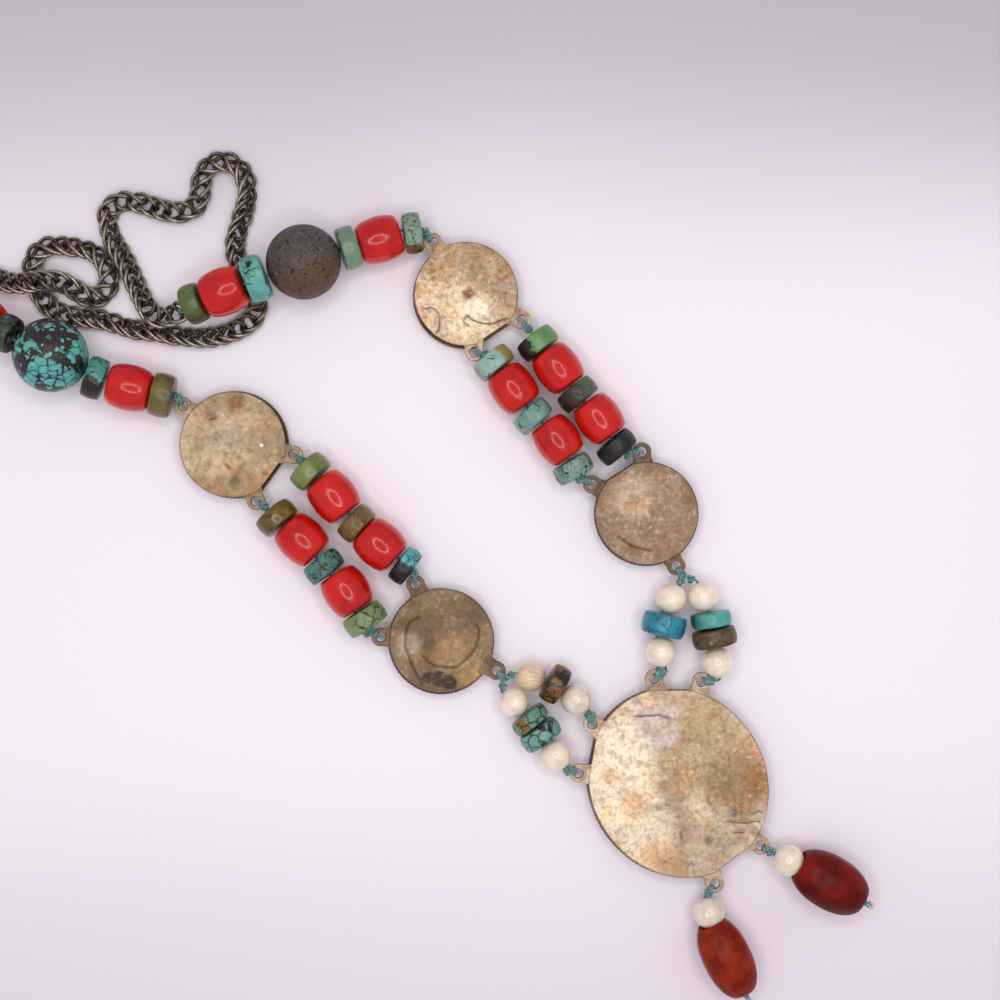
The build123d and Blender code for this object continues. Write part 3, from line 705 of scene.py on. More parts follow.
# Each string's heading away from the pendant and its beads in that order
STRINGS = [
    ("lower_right_inner", 90, "cream sky_blue cream"),
    ("lower_right_outer", 100, "cream olive_cracked sea_green cream"),
    ("lower_left_inner", 152, "grey_cream amber_black yellow_cream"),
    ("lower_left_outer", 130, "cream matrix_turquoise amber_turquoise cream"),
    ("side_right_inner", 130, "speckled_teal coral veined_teal coral pale_olive_end"),
    ("side_right_outer", 130, "black coral dark_olive coral green_black_end"),
    ("side_left_inner", 130, "veined_green coral dark_teal coral golden_olive"),
    ("side_left_outer", 130, "half_black coral olive_brown coral olive_green"),
    ("upper_right", 200, "pale_rust coral smooth_green big_brown blue_matrix coral leaf_green"),
    ("upper_left", 157, "olive_yellow coral nugget big_matrix dark_patch coral leaf_green"),
    ("right_drop", -30, "cream dark_carnelian"),
    ("bottom_drop", -68, "grey_cream brown_carnelian"),
]


def slot_of(node):
    """The material slot that the record gives a node."""
    return next(part["material_slot"] for part in frame["record"]["subparts"]
                if part["node"] == node)


def add_bead(name, node, spot, look, seed):
    """One bead, drilled, in place of its CAD node."""
    build = Build()
    if look in CARNELIAN:
        faceted_drop(build, spot)
        material = carnelian_material(name, seed, *CARNELIAN[look])
        made = build.object(name, material, bead_matrix(spot))
        keep(made, "carnelian", node)
        return
    if look in IVORY:
        kind, material = "small_bead", ivory_material(name, seed, *IVORY[look])
    elif look == "coral":
        kind, material = "coral", coral_material(name, seed)
    else:
        kind = "big_bead" if look in ("big_matrix", "big_brown") else "disc"
        material = stone_material(name, STONES[look], spot, seed)
    turned_bead(build, spot, kind, seed)
    made = build.object(name, material, bead_matrix(spot))
    keep(made, slot_of(node), node)


def add_beads():
    """All the beads. Gives each string's beads in order."""
    strings = {}
    seed = 0
    for string, heading, looks in STRINGS:
        if f"{string}_beads" in frame["nodes"]:
            nodes = [f"{string}_beads"]
        else:
            nodes = [n for n in frame["nodes"] if n.startswith(string + "_") and n[-1].isdigit()]
            nodes.sort(key=lambda node: int(node.rsplit("_", 1)[1]))
        spots = walked(nodes, heading)
        strings[string] = [spot for _, spot in spots]
        for number, ((node, spot), look) in enumerate(zip(spots, looks.split()), start=1):
            seed += 1
            add_bead(f"{string}_{number}", node, spot, look, seed)
    return strings


# Medallions

def silver_material(medal):
    """Worn cast silver, grainy and warm, with painted highlights on its grain and light patches,
    and darker in its hollows and creases with tarnish and painted shade.
    """
    light, middle, dark = medal.tones
    grain = medal.grain
    shader = Shader(medal.node + "_silver", medal.seed, middle)
    slow = shader.noise(0.085, 4)
    shader.paint(shader.fade(slow, 0.38, 0.60), light)
    here = shader.mapped(0)
    # Patches of painted highlight and painted shade, among real stains and tarnish
    for x, y, reach, soft, tone, amount in medal.stains:
        ragged = shader.wobble(0.45, 0.3 * reach, here)
        apart = shader.vector("DISTANCE", ragged, (x, y, 5.0), "Value")
        shader.paint(shader.fade(apart, reach + soft, reach, 0.0, amount), tone)
    warm = shader.clouds(0.20, 4, 0.48, 0.66, 0.0, 0.75, 0.6, shader.wobble(0.3, 1.0))
    shader.paint(warm, "ffe6c6", "MULTIPLY")
    mottle = shader.clouds(0.36, 4, 0.44, 0.68, 0.0, 0.40, 0.62, shader.wobble(0.35, 1.2))
    shader.paint(mottle, dark)
    pebbles = shader.noise(0.9, 4, 0.64, shader.wobble(0.9, 0.5))
    # The grain's hollows darker: tarnish and painted shade
    shader.paint(shader.fade(pebbles, 0.50, 0.34, 0.0, 0.42 * grain), dark)
    # Painted highlights on the grain's tops, where they catch the lamp, with their polish
    zone = shader.fade(slow, 0.36, 0.60, 0.2 * grain, 0.8 * grain)
    bright = shader.math("MULTIPLY", shader.fade(pebbles, 0.53, 0.80), zone)
    shader.paint(bright, "fae8ca")
    pits = shader.clouds(0.8, 3, 0.71, 0.77, 0.0, 0.6 * grain, 0.6)
    shader.paint(pits, "4a3426")
    # The mark: painted shade on the turned edge, wall, rope and lug sides, and darker creases
    shader.paint(shader.mark(), "281d19")
    height = shader.plus(shader.plus(pebbles, shader.noise(3.5, 2), 0.15), pits, -1)
    return shader.surface(shader.fade(pebbles, 0.3, 0.7, 0.54, 0.40), height, 0.03 + 0.09 * grain,
                          Metallic=0.6, Specular_IOR_Level=0.5)


# A medallion's tones are light, middle and dark. A flat is a heading and its distance from the
# middle. Seam is the heading of the lug that is soldered on as a tab, and aside is how far the wall
# lies off. A patch of light and stains is its middle, its reach, the width of its soft edge, its
# colour and its share. Some patches are painted highlights and painted shade where the plate
# catches or loses the lamp's light; the others are stains and tarnish.
Medal = namedtuple("Medal", "node tones flats seam aside grooved seed grain stains")
# The cream of the painted highlights on the pendant's brighter side
CREAM_HIGHLIGHT = "f8e8ca"
MEDALS = [
    Medal("pendant_medallion", ("d8c2a8", "b29a80", "705238"), [(90, 24.4), (-53, 24.6),
          (169, 23.5)], None, (-0.1, -0.75), False, 1, 0.8, [
        (-13.7, 7.6, 5.0, 6.0, CREAM_HIGHLIGHT, 0.75), (-15.0, -2.5, 6.0, 6.0, CREAM_HIGHLIGHT, 0.7),
        (-9.0, -12.5, 4.0, 7.0, CREAM_HIGHLIGHT, 0.6), (-11.0, -5.0, 1.5, 4.0, "ce9e70", 0.6),
        (-4.0, -19.0, 2.0, 4.0, "cc9c6c", 0.6), (-18.0, 2.5, 1.0, 2.5, "ce9e74", 0.6),
        (7.2, 7.6, 9.0, 6.0, "ac926e", 0.75), (16.0, -1.0, 5.0, 7.0, "947652", 0.75),
        (-5.3, 14.2, 4.5, 3.0, "ccbeba", 0.7), (8.0, 18.0, 4.0, 5.0, "baa07a", 0.5),
        (21.0, 0.5, 2.0, 4.0, "a06e3a", 0.75), (19.0, 10.0, 1.0, 4.0, "b08050", 0.6),
        (10.0, -16.0, 4.0, 5.0, "cebaa4", 0.4), (-3.8, 0.3, 0.5, 1.1, "684e42", 0.8),
        (14.5, -7.8, 0.8, 1.0, "585862", 0.75), (7.9, -15.0, 0.9, 1.1, "4c3e32", 0.65),
        (10.1, -13.1, 0.5, 0.8, "4c3e32", 0.6), (-10.0, 17.6, 0.6, 1.2, "70625e", 0.5),
    ]),
    Medal("upper_right_medallion", ("dabea0", "b89c7e", "5c4230"), [(-56, 12.5)], 123,
          (-0.3, -0.25), False, 2, 1.0, [
        (-55.6, 122.6, 4.0, 5.0, "f0e0c0", 0.65), (-62.0, 126.0, 2.5, 5.0, "e4ceae", 0.5),
        (-52.0, 124.5, 1.0, 3.0, "f8ecce", 0.6), (-48.0, 136.0, 5.0, 6.0, "967c5c", 0.6),
        (-44.8, 128.5, 2.0, 4.0, "a6907c", 0.5), (-54.9, 127.8, 0.9, 1.3, "6e4638", 0.9),
        (-47.9, 117.5, 0.6, 1.0, "d6cc82", 0.7),
    ]),
    Medal("lower_right_medallion", ("9a806a", "7e6652", "543e2e"), [(123, 13.0)], None,
          (0.25, -0.15), True, 3, 0.55, [
        (-2.5, 65.5, 5.0, 5.0, "967a60", 0.6), (-12.5, 74.5, 3.0, 5.0, "d6bea2", 0.5),
        (-8.0, 66.0, 1.0, 3.0, "7e644e", 0.5),
    ]),
    Medal("upper_left_medallion", ("b8a282", "9e8668", "604a32"), [(-36, 12.8)], None, (0.04, 0.08),
          False, 4, 0.5, [
        (-115.5, 99.6, 1.0, 2.5, "7a5430", 0.75), (-122.5, 96.0, 0.8, 2.5, "86623c", 0.6),
        (-118.0, 90.0, 2.5, 4.0, "a2907e", 0.55), (-120.5, 84.0, 2.5, 4.0, "ceb894", 0.5),
        (-109.0, 88.2, 0.25, 0.5, "fff8e2", 1.0), (-116.2, 78.6, 0.8, 1.6, "6c583e", 0.75),
    ]),
    Medal("lower_left_medallion", ("846c52", "6c5640", "483626"), [], -28, (-0.2, -0.5), False, 5,
          0.35, [
        (-70.6, 36.0, 1.5, 3.0, "b8a692", 0.7), (-58.5, 33.5, 3.0, 4.0, "a6845c", 0.6),
        (-54.0, 28.5, 2.0, 3.0, "ae8c5c", 0.5), (-60.0, 44.0, 3.0, 4.0, "786048", 0.5),
        (-65.4, 27.5, 1.2, 0.8, "32261e", 0.9), (-62.6, 27.1, 1.7, 0.8, "3a2e24", 0.9),
        (-59.8, 26.2, 1.5, 0.8, "2c221e", 0.9),
    ]),
]
# Dark creases in the backs, as lines through points
CREASES = {
    "pendant_medallion": [[(18.3, -7.4), (19.6, -7.9), (20.9, -7.4), (22.0, -7.8)], [(12.7, -10.2),
        (15.6, -10.4), (18.2, -10.4), (20.4, -10.0), (21.6, -10.1)], [(14.5, -13.1), (17.4, -12.9)],
        [(-2.3, 24.0), (-1.6, 24.8)], [(1.0, -14.6), (0.6, -12.8)], [(-11.5, 17.3), (-9.3, 17.4),
        (-5.3, 17.6), (-2.0, 16.8)]],
    "upper_right_medallion": [[(-54.8, 119.6), (-55.9, 120.4), (-56.1, 121.1), (-55.4, 122.2),
        (-54.6, 121.7), (-53.7, 121.0), (-51.5, 120.2), (-48.5, 120.1), (-46.3, 121.0),
        (-44.6, 121.4), (-43.6, 120.4)], [(-67.1, 124.2), (-65.8, 123.9), (-65.0, 124.3),
        (-63.9, 124.0), (-62.8, 122.9)], [(-62.5, 121.7), (-62.5, 119.6), (-62.7, 118.3),
        (-63.5, 117.7)]],
    "lower_right_medallion": [[(-15.8, 64.5), (-12.0, 61.8), (-7.0, 60.6)]],
    "upper_left_medallion": [[(-108.8, 81.2), (-107.4, 80.0)], [(-118.6, 83.2), (-117.4, 82.2)],
        [(-122.6, 95.0), (-121.2, 95.4)]],
    "lower_left_medallion": [[(-67.8, 43.4), (-70.2, 42.0), (-71.3, 39.7), (-71.5, 35.5),
        (-69.6, 30.3), (-66.9, 25.3)], [(-52.8, 41.4), (-52.1, 39.7), (-52.4, 36.8), (-53.8, 34.1),
        (-55.9, 31.8), (-58.2, 30.1), (-60.4, 30.1), (-63.8, 30.5), (-66.7, 32.7)]],
}
LUG_RADIUS, EYE_RADIUS, NECK_HALF, NECK_FLARE, ROOT_OVERLAP = 2.45, 1.2, 2.3, 0.9, 1.5
CREASE_WIDTH, CREASE_DEPTH, DENT_DEPTH = 0.28, 0.22, 0.16
ROPE_RADIUS, ROPE_STEP = 0.36, 0.16
FOOT_RADIUS = 0.35
# How far each row of the turned edge lies inside the outline and under the top, and its mark, which
# paints shade on the edge as it turns down
TURNED_EDGE = [(0.34, 0.03, 0.0), (0.14, 0.10, 0.1), (0.04, 0.22, 0.6), (0.0, 0.5, 0.9),
               (0.08, 0.88, 1.0)]
# The same for the wall and the front's edge, with their height over the surface; their mark paints
# them dark, as shade under the plate's edge and as tarnish
WALL = [(0.85, 3.2, 0.55), (0.85, 1.35, 0.6), (0.4, 1.2, 0.9), (0.2, 0.75, 0.8), (0.3, 0.25, 0.6),
        (0.7, 0.02, 0.3)]


def medal_box(node):
    """Middle, the semi-axes and the turn of a medallion's plate, and its height."""
    points, _ = welded(node)
    foot = points[points[:, 2] < 0.6][:, :2]
    middle = (foot.min(0) + foot.max(0)) / 2
    across = foot - middle
    away = np.linalg.norm(across, axis=1)
    longest = across[away.argmax()]
    turn = atan2(longest[1], longest[0]) % pi
    sideways = np.abs(across @ np.array((-sin(turn), cos(turn)))).max()
    return middle, away.max() - FOOT_RADIUS, sideways - FOOT_RADIUS, turn, points[:, 2].max()


def crease_depth(points, creases):
    """How near each point is to a crease, 1 on it."""
    deep = np.zeros(len(points))
    for crease in creases:
        line = np.array(crease, float)
        for a, b in zip(line, line[1:]):
            run = b - a
            share = np.clip(((points - a) @ run) / (run @ run), 0, 1)
            apart = np.linalg.norm(points - a - share[:, None] * run, axis=1)
            deep = np.maximum(deep, np.exp(-(apart / CREASE_WIDTH) ** 2))
    return deep


def medallion(medal):
    """A drum: dented back plate with its edge turned down, wall, roped rim and drilled lugs."""
    middle, long_half, short_half, turn, top = medal_box(medal.node)
    holes = lug_holes(medal.node)
    build = Build()
    around, rings = (240, 72) if long_half > 20 else (160, 48)
    turns = circle(around)

    def outline(t):
        """Radius of the plate at an angle."""
        reach = 1 / np.hypot(np.cos(t - turn) / long_half, np.sin(t - turn) / short_half)
        for heading, apart in medal.flats:
            facing = np.cos(t - radians(heading))
            cut = np.minimum(reach, apart / np.maximum(facing, 0.5))
            reach = np.where(facing > 0.5, cut, reach)
        return reach

    uneven = [wave(2.2 * cos(t), 2.2 * sin(t), medal.seed) for t in turns]
    edge = outline(turns) - 0.06 - 0.10 * np.array(uneven)
    # Rows of radius, height and mark: the back, its turned edge, the wall and the front
    rows = [(share * (edge - 0.6), top, 0.0) for share in np.linspace(0.0, 1.0, rings) ** 0.9]
    rows += [(edge - back, top - down, dark) for back, down, dark in TURNED_EDGE]
    rows += [(edge - back, height, dark) for back, height, dark in [(0.7, top - 0.98, 0.9)] + WALL]
    rows += [(share * (edge - 0.5), 0.02, 0.0) for share in np.linspace(0.92, 0.0, 14)]
    radius, height, mark = (np.array([row[i] + 0 * turns for row in rows]) for i in range(3))
    lower = np.clip((top - 0.9 - height) / 1.5, 0, 1)
    x = middle[0] + radius * np.cos(turns) + medal.aside[0] * lower
    y = middle[1] + radius * np.sin(turns) + medal.aside[1] * lower
    back = np.stack([x[:rings].ravel(), y[:rings].ravel()], axis=1)
    fade = np.clip((edge - 0.7 - radius[:rings]) / 2.0, 0, 1)
    dents = np.array([wave(*(p * 0.11), medal.seed) + 0.5 * wave(*(p * 0.3), 2 * medal.seed)
                      for p in back]).reshape(rings, around)
    creases = crease_depth(back, CREASES[medal.node]).reshape(rings, around)
    height[:rings] += -0.05 + DENT_DEPTH * (dents - 0.6) * fade - CREASE_DEPTH * creases
    mark[:rings] = np.maximum(mark[:rings], 0.35 * creases)
    build.add(np.stack([x, y, height], axis=2), mark)

    # The dark lines that run in the creases
    lie = height[:rings].ravel()
    for crease in CREASES[medal.node]:
        line = wander(smooth_line([(*point, 0) for point in crease]), 0.22, 0.9, medal.seed)
        line[:, 2] = [lie[np.linalg.norm(back - p[:2], axis=1).argmin()] + 0.01 for p in line]
        width = 0.03 + 0.08 * np.sin(np.linspace(0, pi, len(line))) ** 0.5
        tube(build, line, width[:, None], 6, mark=0.4 + 0.5 * medal.grain)

    # Roped wire round the front
    steps = int(2 * pi * sqrt(long_half * short_half) / ROPE_STEP)
    rope = circle(steps)
    reach = outline(rope) - 0.14
    line = np.stack([middle[0] + medal.aside[0] + reach * np.cos(rope),
                     middle[1] + medal.aside[1] + reach * np.sin(rope), np.ones(steps)], axis=1)
    thick = ROPE_RADIUS + 0.06 * np.sin(round(steps / 7) * rope)
    # The rope's mark paints it darker: shade under the plate's edge, and tarnish
    tube(build, line, thick[:, None], 7, closed=True, mark=0.6)

    for number, hole in enumerate(holes):
        lug(build, hole, middle, outline, top, medal, number)
    made = build.object(medal.node + "_detailed", silver_material(medal))
    keep(made, "silver", medal.node)
    return holes


def lug(build, hole, middle, outline, top, medal, number):
    """A keyhole tab with a drilled eye. It is one with the plate, or lies on it with a seam."""
    out = hole[:2] - middle
    heading = atan2(out[1], out[0])
    root = np.linalg.norm(out) - float(outline(heading)) + ROOT_OVERLAP
    seamed = medal.seam is not None and abs(degrees(heading) - medal.seam) < 12
    turns = circle(64)
    outer = []
    for t in turns:
        # The ray from the hole meets the round eye, a side of the flaring neck or the root
        far = LUG_RADIUS
        if cos(t) < 0:
            for _ in range(6):
                side = NECK_HALF + NECK_FLARE * min(1.0, abs(cos(t)) * far / root) ** 3
                far = max(LUG_RADIUS, min(side / max(abs(sin(t)), 1e-3), root / abs(cos(t))))
        outer.append(far)
    outer = (np.roll(outer, 1) + 2 * np.array(outer) + np.roll(outer, -1)) / 4
    groove = 0.26 if medal.grooved else 0.06
    # The section's third column paints shade on the tab's sides as they turn down; on a soldered
    # tab it also darkens the seam
    section = [(0.00, -0.85, 1.0), (0.00, -0.28, 0.9), (0.08, -0.06, 0.3), (0.22, 0.0, 0.0),
               (0.45, -groove, 0.2), (0.62, -groove, 0.2), (0.84, 0.0, 0.0), (0.96, -0.07, 0.3),
               (1.00, -0.28, 0.8), (1.00, -0.85, 1.0)]
    ahead, beside = (np.array((cos(t), sin(t))) for t in (heading, heading + pi / 2))
    verts = []
    marks = []
    for share, down, dark in section:
        if share > 0.5:
            reach = outer - (1 - share) * (LUG_RADIUS - EYE_RADIUS)
        else:
            reach = EYE_RADIUS + share * (LUG_RADIUS - EYE_RADIUS)
        spot = (hole[:2] + np.outer(reach * np.cos(turns), ahead)
                + np.outer(reach * np.sin(turns), beside))
        away = spot - middle
        inside = outline(np.arctan2(away[:, 1], away[:, 0])) - np.linalg.norm(away, axis=1)
        sunk = smooth_step(np.clip((inside - 0.35) / 0.5, 0, 1))
        rise = 0.12 if seamed else -0.3 * sunk
        verts.append(np.column_stack([spot, top + down - 0.01 + rise + 0 * turns]))
        dim = 0.06 if medal.grooved or seamed else 0.0
        marks.append(np.clip(dark * (1 if seamed else 1 - sunk) + dim * (1 - sunk), 0, 1))
    verts = wander(np.vstack(verts), 0.05, 0.5, medal.seed + number)
    build.add(verts.reshape(len(section), -1, 3), marks, wrap_rows=True)


# Threads

THREAD_THICK, THREAD_SIDES, THREAD_TWIST = 0.8, 10, 2.2
WRAP_MIDDLE, WRAP_REACH, WRAP_STEPS = 1.85, 1.02, 26
# Which way the cut end at a string's lug points
FRAYS = {"right_drop": 20, "bottom_drop": -160, "lower_right_inner": 20, "lower_left_inner": 170,
         "side_right_inner": 160, "side_right_outer": 60, "side_left_inner": 200,
         "side_left_outer": 80, "upper_right": 75, "upper_left": 10}
# From the last bead of each upper string to the chain's end
LEADS = {"right": np.array((-1.9, -0.9, -1.8)), "left": np.array((-2.3, 1.1, -1.2))}


def thread_material():
    """Waxed green-blue thread, two plies, with painted shade between its turns."""
    shader = Shader("thread", 3, "7aa6a0")
    fibres = shader.noise(3.0, 3, 0.6)
    shader.paint(shader.fade(fibres, 0.35, 0.65), "487470")
    shader.paint(shader.clouds(0.9, 2, 0.56, 0.72, 0.0, 0.7), "a4cac2")
    shader.paint(shader.mark(), "102222")
    return shader.surface(shader.fade(fibres, 0.3, 0.7, 0.45, 0.7), fibres, 0.08,
                          Specular_IOR_Level=0.4, Sheen_Weight=0.2)


def cord_run(build, points, thick=THREAD_THICK, closed=False):
    """A twisted two-ply run: an oval section that turns as it goes."""
    lay = distances(points)[:, None] * THREAD_TWIST
    lobes = 0.82 + 0.18 * np.cos(2 * (circle(THREAD_SIDES) - lay))
    # Painted shade in the grooves between the plies
    dark = np.clip((0.80 - lobes) / 0.16, 0, 1) * 0.8
    tube(build, points, thick / 2 * lobes, THREAD_SIDES, closed, dark)


def wrap_ring(build, hole, towards, turns, thick, seed):
    """Turns of thread round the far side of a lug's eye."""
    out = towards[:2] - hole[:2]
    out /= np.linalg.norm(out)
    side = np.array((-out[1], out[0]))
    line = []
    count = turns * WRAP_STEPS
    for i in range(count + 1):
        t = 2 * pi * i / WRAP_STEPS
        lean = ((i / count) - 0.5) * thick * 0.95 * turns
        reach = (WRAP_MIDDLE + WRAP_REACH * cos(t)) * (1 - 0.02 * lean ** 2)
        spot = hole[:2] + out * reach + side * lean * (0.75 + 0.1 * cos(t))
        line.append((*spot, hole[2] - 0.42 + 0.88 * sin(t)))
    cord_run(build, wander(line, 0.10, 0.6, seed), thick)


def knot(build, place, size, thick, turn, seed):
    """An overhand knot."""
    t = circle(72)
    flat = np.stack([np.sin(t) + 2 * np.sin(2 * t), np.cos(t) - 2 * np.cos(2 * t),
                     -0.9 * np.sin(3 * t)], axis=1) * (size / 6)
    cosine, sine = cos(turn), sin(turn)
    spin = np.array(((cosine, -sine, 0), (sine, cosine, 0), (0, 0, 1)))
    cord_run(build, wander(flat @ spin.T + place, 0.12, 0.8, seed), thick, closed=True)


def frayed(build, place, heading, length, strands, seed, lift=0.25):
    """Loose fibres at a cut end."""
    rng = random.Random(seed)
    for _ in range(strands):
        way = heading + rng.uniform(-0.5, 0.5)
        half = length * rng.uniform(0.6, 1.0) / 2
        rise = rng.uniform(-0.3, lift)
        start = place + np.array([rng.uniform(-0.22, 0.22) for _ in range(3)])
        bend = way + rng.uniform(-0.6, 0.6)
        elbow = start + np.array((cos(way), sin(way), rise)) * half
        tip = elbow + np.array((cos(bend), sin(bend), rise - 0.3)) * half
        line = smooth_line([start, elbow, tip], 5)
        tube(build, line, np.linspace(0.17, 0.07, len(line))[:, None], 5, mark=rng.uniform(0, 0.4))


def nearest(points, target):
    return min(points, key=lambda p: np.linalg.norm(p[:2] - target[:2]))


def add_tie(build, hole, towards, seed, fray=None, turns=2, knots=1):
    """Thread round a lug and its knots on the way to the first bead. Gives where the run starts."""
    out = towards - hole
    gap = np.linalg.norm(out[:2])
    ahead = np.array((*out[:2], 0)) / gap
    beside = np.array((-ahead[1], ahead[0], 0))
    rng = random.Random(seed)
    wrap_ring(build, hole, towards, turns, 1.0, seed)
    wrap_ring(build, hole + lifted(0.06), towards, turns - 1, 0.95, seed + 0.5)
    for number in range(knots):
        along = min(2.9 + number * 0.9, max(2.2, gap - 0.3))
        aside = (number % 2 * 2 - 1) * rng.uniform(0.4, 0.9) if number else 0.0
        place = hole + ahead * along + beside * aside + lifted(0.35)
        knot(build, place, 1.75, 1.0, rng.uniform(0, pi), seed + number)
    if fray is not None:
        frayed(build, hole + ahead * 2.7 + lifted(0.4), radians(fray), 2.2, 7, seed)
    return hole + ahead * 2.6 + lifted(0.1)


def through(spots, start, end):
    """The thread's line through a string's beads."""
    kept = [start]
    for point in [point for spot in spots for point in (spot.enter, spot.leave)] + [end]:
        if np.linalg.norm(point - kept[-1]) > 0.3:
            kept.append(point)
    return smooth_line(kept, 6)


def add_threads(strings, holes):
    """The threads of every string, with their ties, knots and cut ends."""
    material = thread_material()
    pendant = holes["pendant_medallion"]

    def made(build, node):
        keep(build.object(node + "_detailed", material), "thread", node)

    def strung(build, name, lugs, end, seed, **tie):
        """A tie at the nearest of some lugs and the run through a string's beads to an end."""
        first = strings[name][0].enter
        start = add_tie(build, nearest(lugs, first), first, seed, FRAYS.get(name), **tie)
        cord_run(build, through(strings[name], start, end))

    for number, name in enumerate(("right_drop", "bottom_drop")):
        last = strings[name][-1]
        end = last.leave + last.axis * 0.2
        build = Build()
        strung(build, name, pendant, end, 40 + number)
        knot(build, end + last.axis * 0.6, 1.4, 0.85, 0.6, 50 + number)
        frayed(build, end + last.axis * 0.9, atan2(last.axis[1], last.axis[0]), 2.6, 12,
               52 + number, 0.1)
        made(build, f"{name}_thread")

    for number, side in enumerate(("right", "left")):
        lower = holes[f"lower_{side}_medallion"]
        upper = holes[f"upper_{side}_medallion"]
        names = [f"lower_{side}_inner", f"lower_{side}_outer"]
        fork = (strings[names[0]][-1].leave + strings[names[1]][-1].leave) / 2
        build = Build()
        fork_start = add_tie(build, nearest(lower, fork), fork, 60 + number)
        for line, name in enumerate(names):
            seed = 2 * number + line
            strung(build, name, pendant, fork_start, 62 + seed, turns=3)
            place = fork_start + (strings[name][-1].leave - fork_start) * 0.55 + lifted(0.3)
            knot(build, place, 1.7, 1.0, 1.0 + line, 70 + seed)
        made(build, f"lower_{side}_thread")

        for line, name in enumerate((f"side_{side}_inner", f"side_{side}_outer")):
            last = strings[name][-1].leave
            build = Build()
            seed = 80 + 4 * number + line
            end = add_tie(build, nearest(upper, last), last, seed + 2)
            strung(build, name, lower, end, seed, knots=2)
            made(build, f"{name}_thread")

        name = f"upper_{side}"
        end = strings[name][-1].leave + LEADS[side] * 0.7
        build = Build()
        strung(build, name, upper, end, 95 + number)
        knot(build, end, 1.2, 0.85, 0.3, 97 + number)
        frayed(build, end, radians((220, 120)[number]), 2.0, 6, 99 + number)
        made(build, f"{name}_thread")


# Chain. Its route is the one that the source's tube follows, in metres, the last value its lift
# over the surface in tube diameters.

CHAIN_DIAMETER = 5.4
CHAIN_ROUTE = [
    (-0.1339, 0.1212, 0.80), (-0.1376, 0.1221, 0.70), (-0.1402, 0.1258, 0.28), (-0.1424, 0.1300, 0),
    (-0.1443, 0.1344, 0), (-0.1464, 0.1387, 0), (-0.1488, 0.1423, 0), (-0.1499, 0.1463, 0),
    (-0.1501, 0.1497, 0), (-0.1482, 0.1521, 0), (-0.1443, 0.1530, 0), (-0.1398, 0.1518, 0),
    (-0.1348, 0.1500, 0), (-0.1298, 0.1497, 0), (-0.1269, 0.1513, 0), (-0.1257, 0.1544, 0),
    (-0.1256, 0.1581, 0), (-0.1240, 0.1615, 0), (-0.1206, 0.1633, 0), (-0.1169, 0.1626, 0),
    (-0.1143, 0.1600, 0), (-0.1132, 0.1558, 0), (-0.1138, 0.1513, 0), (-0.1153, 0.1465, 0),
    (-0.1165, 0.1423, 0), (-0.1164, 0.1387, 0), (-0.1148, 0.1350, 0), (-0.1124, 0.1305, 0),
    (-0.1106, 0.1260, 0), (-0.1111, 0.1223, 0), (-0.1146, 0.1194, 0), (-0.1198, 0.1173, 0),
    (-0.1256, 0.1165, 0), (-0.1322, 0.1172, 0), (-0.1388, 0.1183, 0), (-0.1448, 0.1192, 0),
    (-0.1498, 0.1210, 0), (-0.1546, 0.1219, 0), (-0.1596, 0.1222, 0), (-0.1640, 0.1235, 0),
    (-0.1669, 0.1265, 0), (-0.1688, 0.1302, 0), (-0.1701, 0.1344, 0), (-0.1693, 0.1384, 0),
    (-0.1661, 0.1408, 0), (-0.1619, 0.1408, 0), (-0.1575, 0.1404, 0), (-0.1538, 0.1392, 0),
    (-0.1510, 0.1365, 0), (-0.1496, 0.1329, 0), (-0.1501, 0.1294, 0), (-0.1527, 0.1273, 0),
    (-0.1561, 0.1277, 0), (-0.1594, 0.1300, 0.12), (-0.1623, 0.1313, 0.62), (-0.1665, 0.1312, 1.08),
    (-0.1713, 0.1304, 0.95), (-0.1765, 0.1311, 0.40), (-0.1816, 0.1336, 0.05), (-0.1869, 0.1363, 0),
    (-0.1932, 0.1397, 0), (-0.2006, 0.1410, 0), (-0.2072, 0.1392, 0), (-0.2109, 0.1347, 0),
    (-0.2103, 0.1297, 0), (-0.2064, 0.1268, 0), (-0.2016, 0.1265, 0.05), (-0.1972, 0.1268, 0.15),
]
LINK_LONG, LINK_WIDE, WIRE, LINK_PITCH, END_MARGIN = 9.2, 6.0, 1.12, 3.3, 0.5
REST_HEIGHT, CROSSING_LIFT = 1.95, 0.78 * CHAIN_DIAMETER


def chain_line(start, end):
    """The chain's smooth middle line, from the NURBS spline whose control points the route has."""
    route = [np.array((x / MM, y / MM, REST_HEIGHT + rise * CROSSING_LIFT))
             for x, y, rise in CHAIN_ROUTE]
    points = [start] + route + [end]
    data = bpy.data.curves.new("chain_route", "CURVE")
    data.dimensions = "3D"
    data.resolution_u = 12
    spline = data.splines.new("NURBS")
    spline.points.add(len(points) - 1)
    for control, point in zip(spline.points, points):
        control.co = (*(point * MM), 1)
    spline.order_u = 3
    spline.use_endpoint_u = True
    holder = bpy.data.objects.new("chain_route", data)
    mesh = bpy.data.meshes.new_from_object(holder)
    line = np.array([v.co for v in mesh.vertices]) / MM
    bpy.data.objects.remove(holder)
    bpy.data.meshes.remove(mesh)
    return line


def chain_material():
    """Old silver wire with painted light: brown-black on its inner and under sides, painted shade
    with tarnish, and bright on its outer and upper sides, painted highlight with rubbed wear.
    """
    shader = Shader("chain_silver", 9, "6e5a4c")
    shader.paint(shader.clouds(0.8, 4, 0.35, 0.65), "44362d")
    # The mark is painted light: highlight with rubbed wear where it is high, shade with tarnish
    # where it is low
    light_and_wear = shader.mark()
    highlight_and_rub = shader.fade(shader.plus(light_and_wear, shader.noise(1.4, 3), 0.5), 0.85, 1.3)
    shader.paint(highlight_and_rub, "b6a492")
    shader.paint(shader.fade(light_and_wear, 0.42, 0.12, 0.0, 0.9), "1a110b")
    return shader.surface(shader.fade(highlight_and_rub, 0.0, 1.0, 0.5, 0.28), shader.noise(2.2, 3), 0.05,
                          Metallic=0.85)


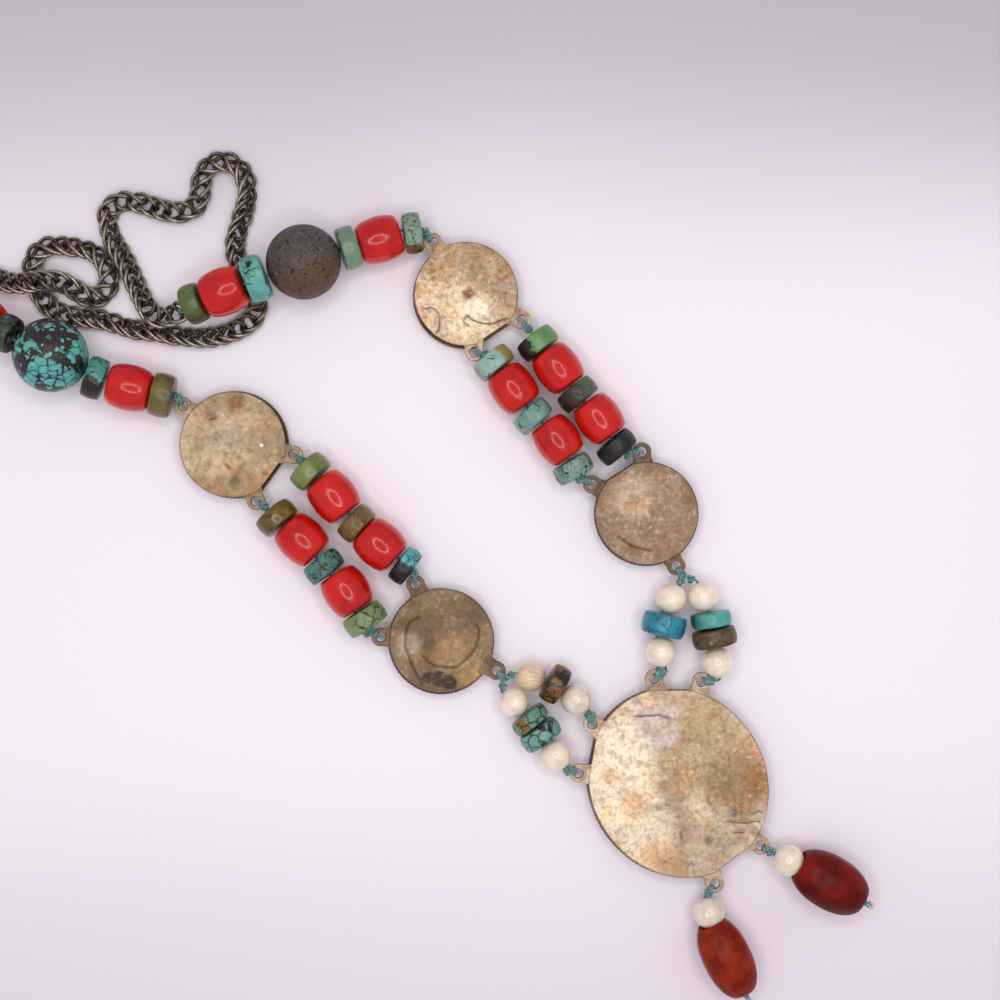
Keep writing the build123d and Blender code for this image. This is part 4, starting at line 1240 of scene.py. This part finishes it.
def add_chain(strings):
    """Interlinked twisted oval links along the chain's line."""
    right, left = strings["upper_right"][-1], strings["upper_left"][-1]
    line = chain_line(right.leave + right.axis * 0.1 + LEADS["right"],
                      left.leave + left.axis * 0.1 + LEADS["left"])
    along = distances(line)
    length = along[-1]
    count = int((length - 2 * END_MARGIN) / LINK_PITCH)
    pitch = (length - 2 * END_MARGIN) / count

    def at(distance):
        return np.array([np.interp(distance, along, line[:, k]) for k in range(3)])

    t = circle(44)
    # Fuller than an ellipse, as wire bent round a mandrel
    long_half, wide_half = (LINK_LONG - WIRE) / 2, (LINK_WIDE - WIRE) / 2
    x = long_half * np.sign(np.cos(t)) * np.abs(np.cos(t)) ** 0.86
    y = wide_half * np.sign(np.sin(t)) * np.abs(np.sin(t)) ** 0.92
    build = Build()
    rng = random.Random(12)
    for number in range(count + 1):
        middle = END_MARGIN + number * pitch
        back, ahead = at(max(middle - 2.4, 0)), at(min(middle + 2.4, length))
        forward = (ahead - back) / np.linalg.norm(ahead - back)
        centre = at(middle)
        side = np.cross((0, 0, 1), forward)
        side /= np.linalg.norm(side)
        over = np.cross(forward, side)
        roll = radians(50 * sin(number * 0.17) + rng.uniform(-13, 13))
        twist = radians(66 + rng.uniform(-8, 8))
        turn = roll + twist * x / long_half
        points = (centre + np.outer(x, forward) + np.outer(y * np.cos(turn), side)
                  + np.outer(0.72 * y * np.sin(turn), over))
        ring = spokes(points, 8, closed=True)
        verts = points[:, None] + ring * WIRE / 2
        away = verts - centre
        radial = np.linalg.norm(away - (away @ forward)[:, :, None] * forward, axis=2)
        # Painted light: higher on the wire's outer and upper sides, lower on its inner and under
        # sides, along with the wear of rubbing
        light_and_rub = np.clip(radial / (LINK_WIDE / 2) * 0.8 + 0.25 * ring[:, :, 2], 0, 1)
        verts[:, :, 2] = np.maximum(verts[:, :, 2], 0.03)
        build.add(verts, light_and_rub, wrap_rows=True)
    made = build.object("neck_chain_links", chain_material())
    keep(made, "chain_silver", "neck_chain")


add_camera()
add_stage()
strings = add_beads()
holes = {medal.node: medallion(medal) for medal in MEDALS}
add_threads(strings, holes)
add_chain(strings)
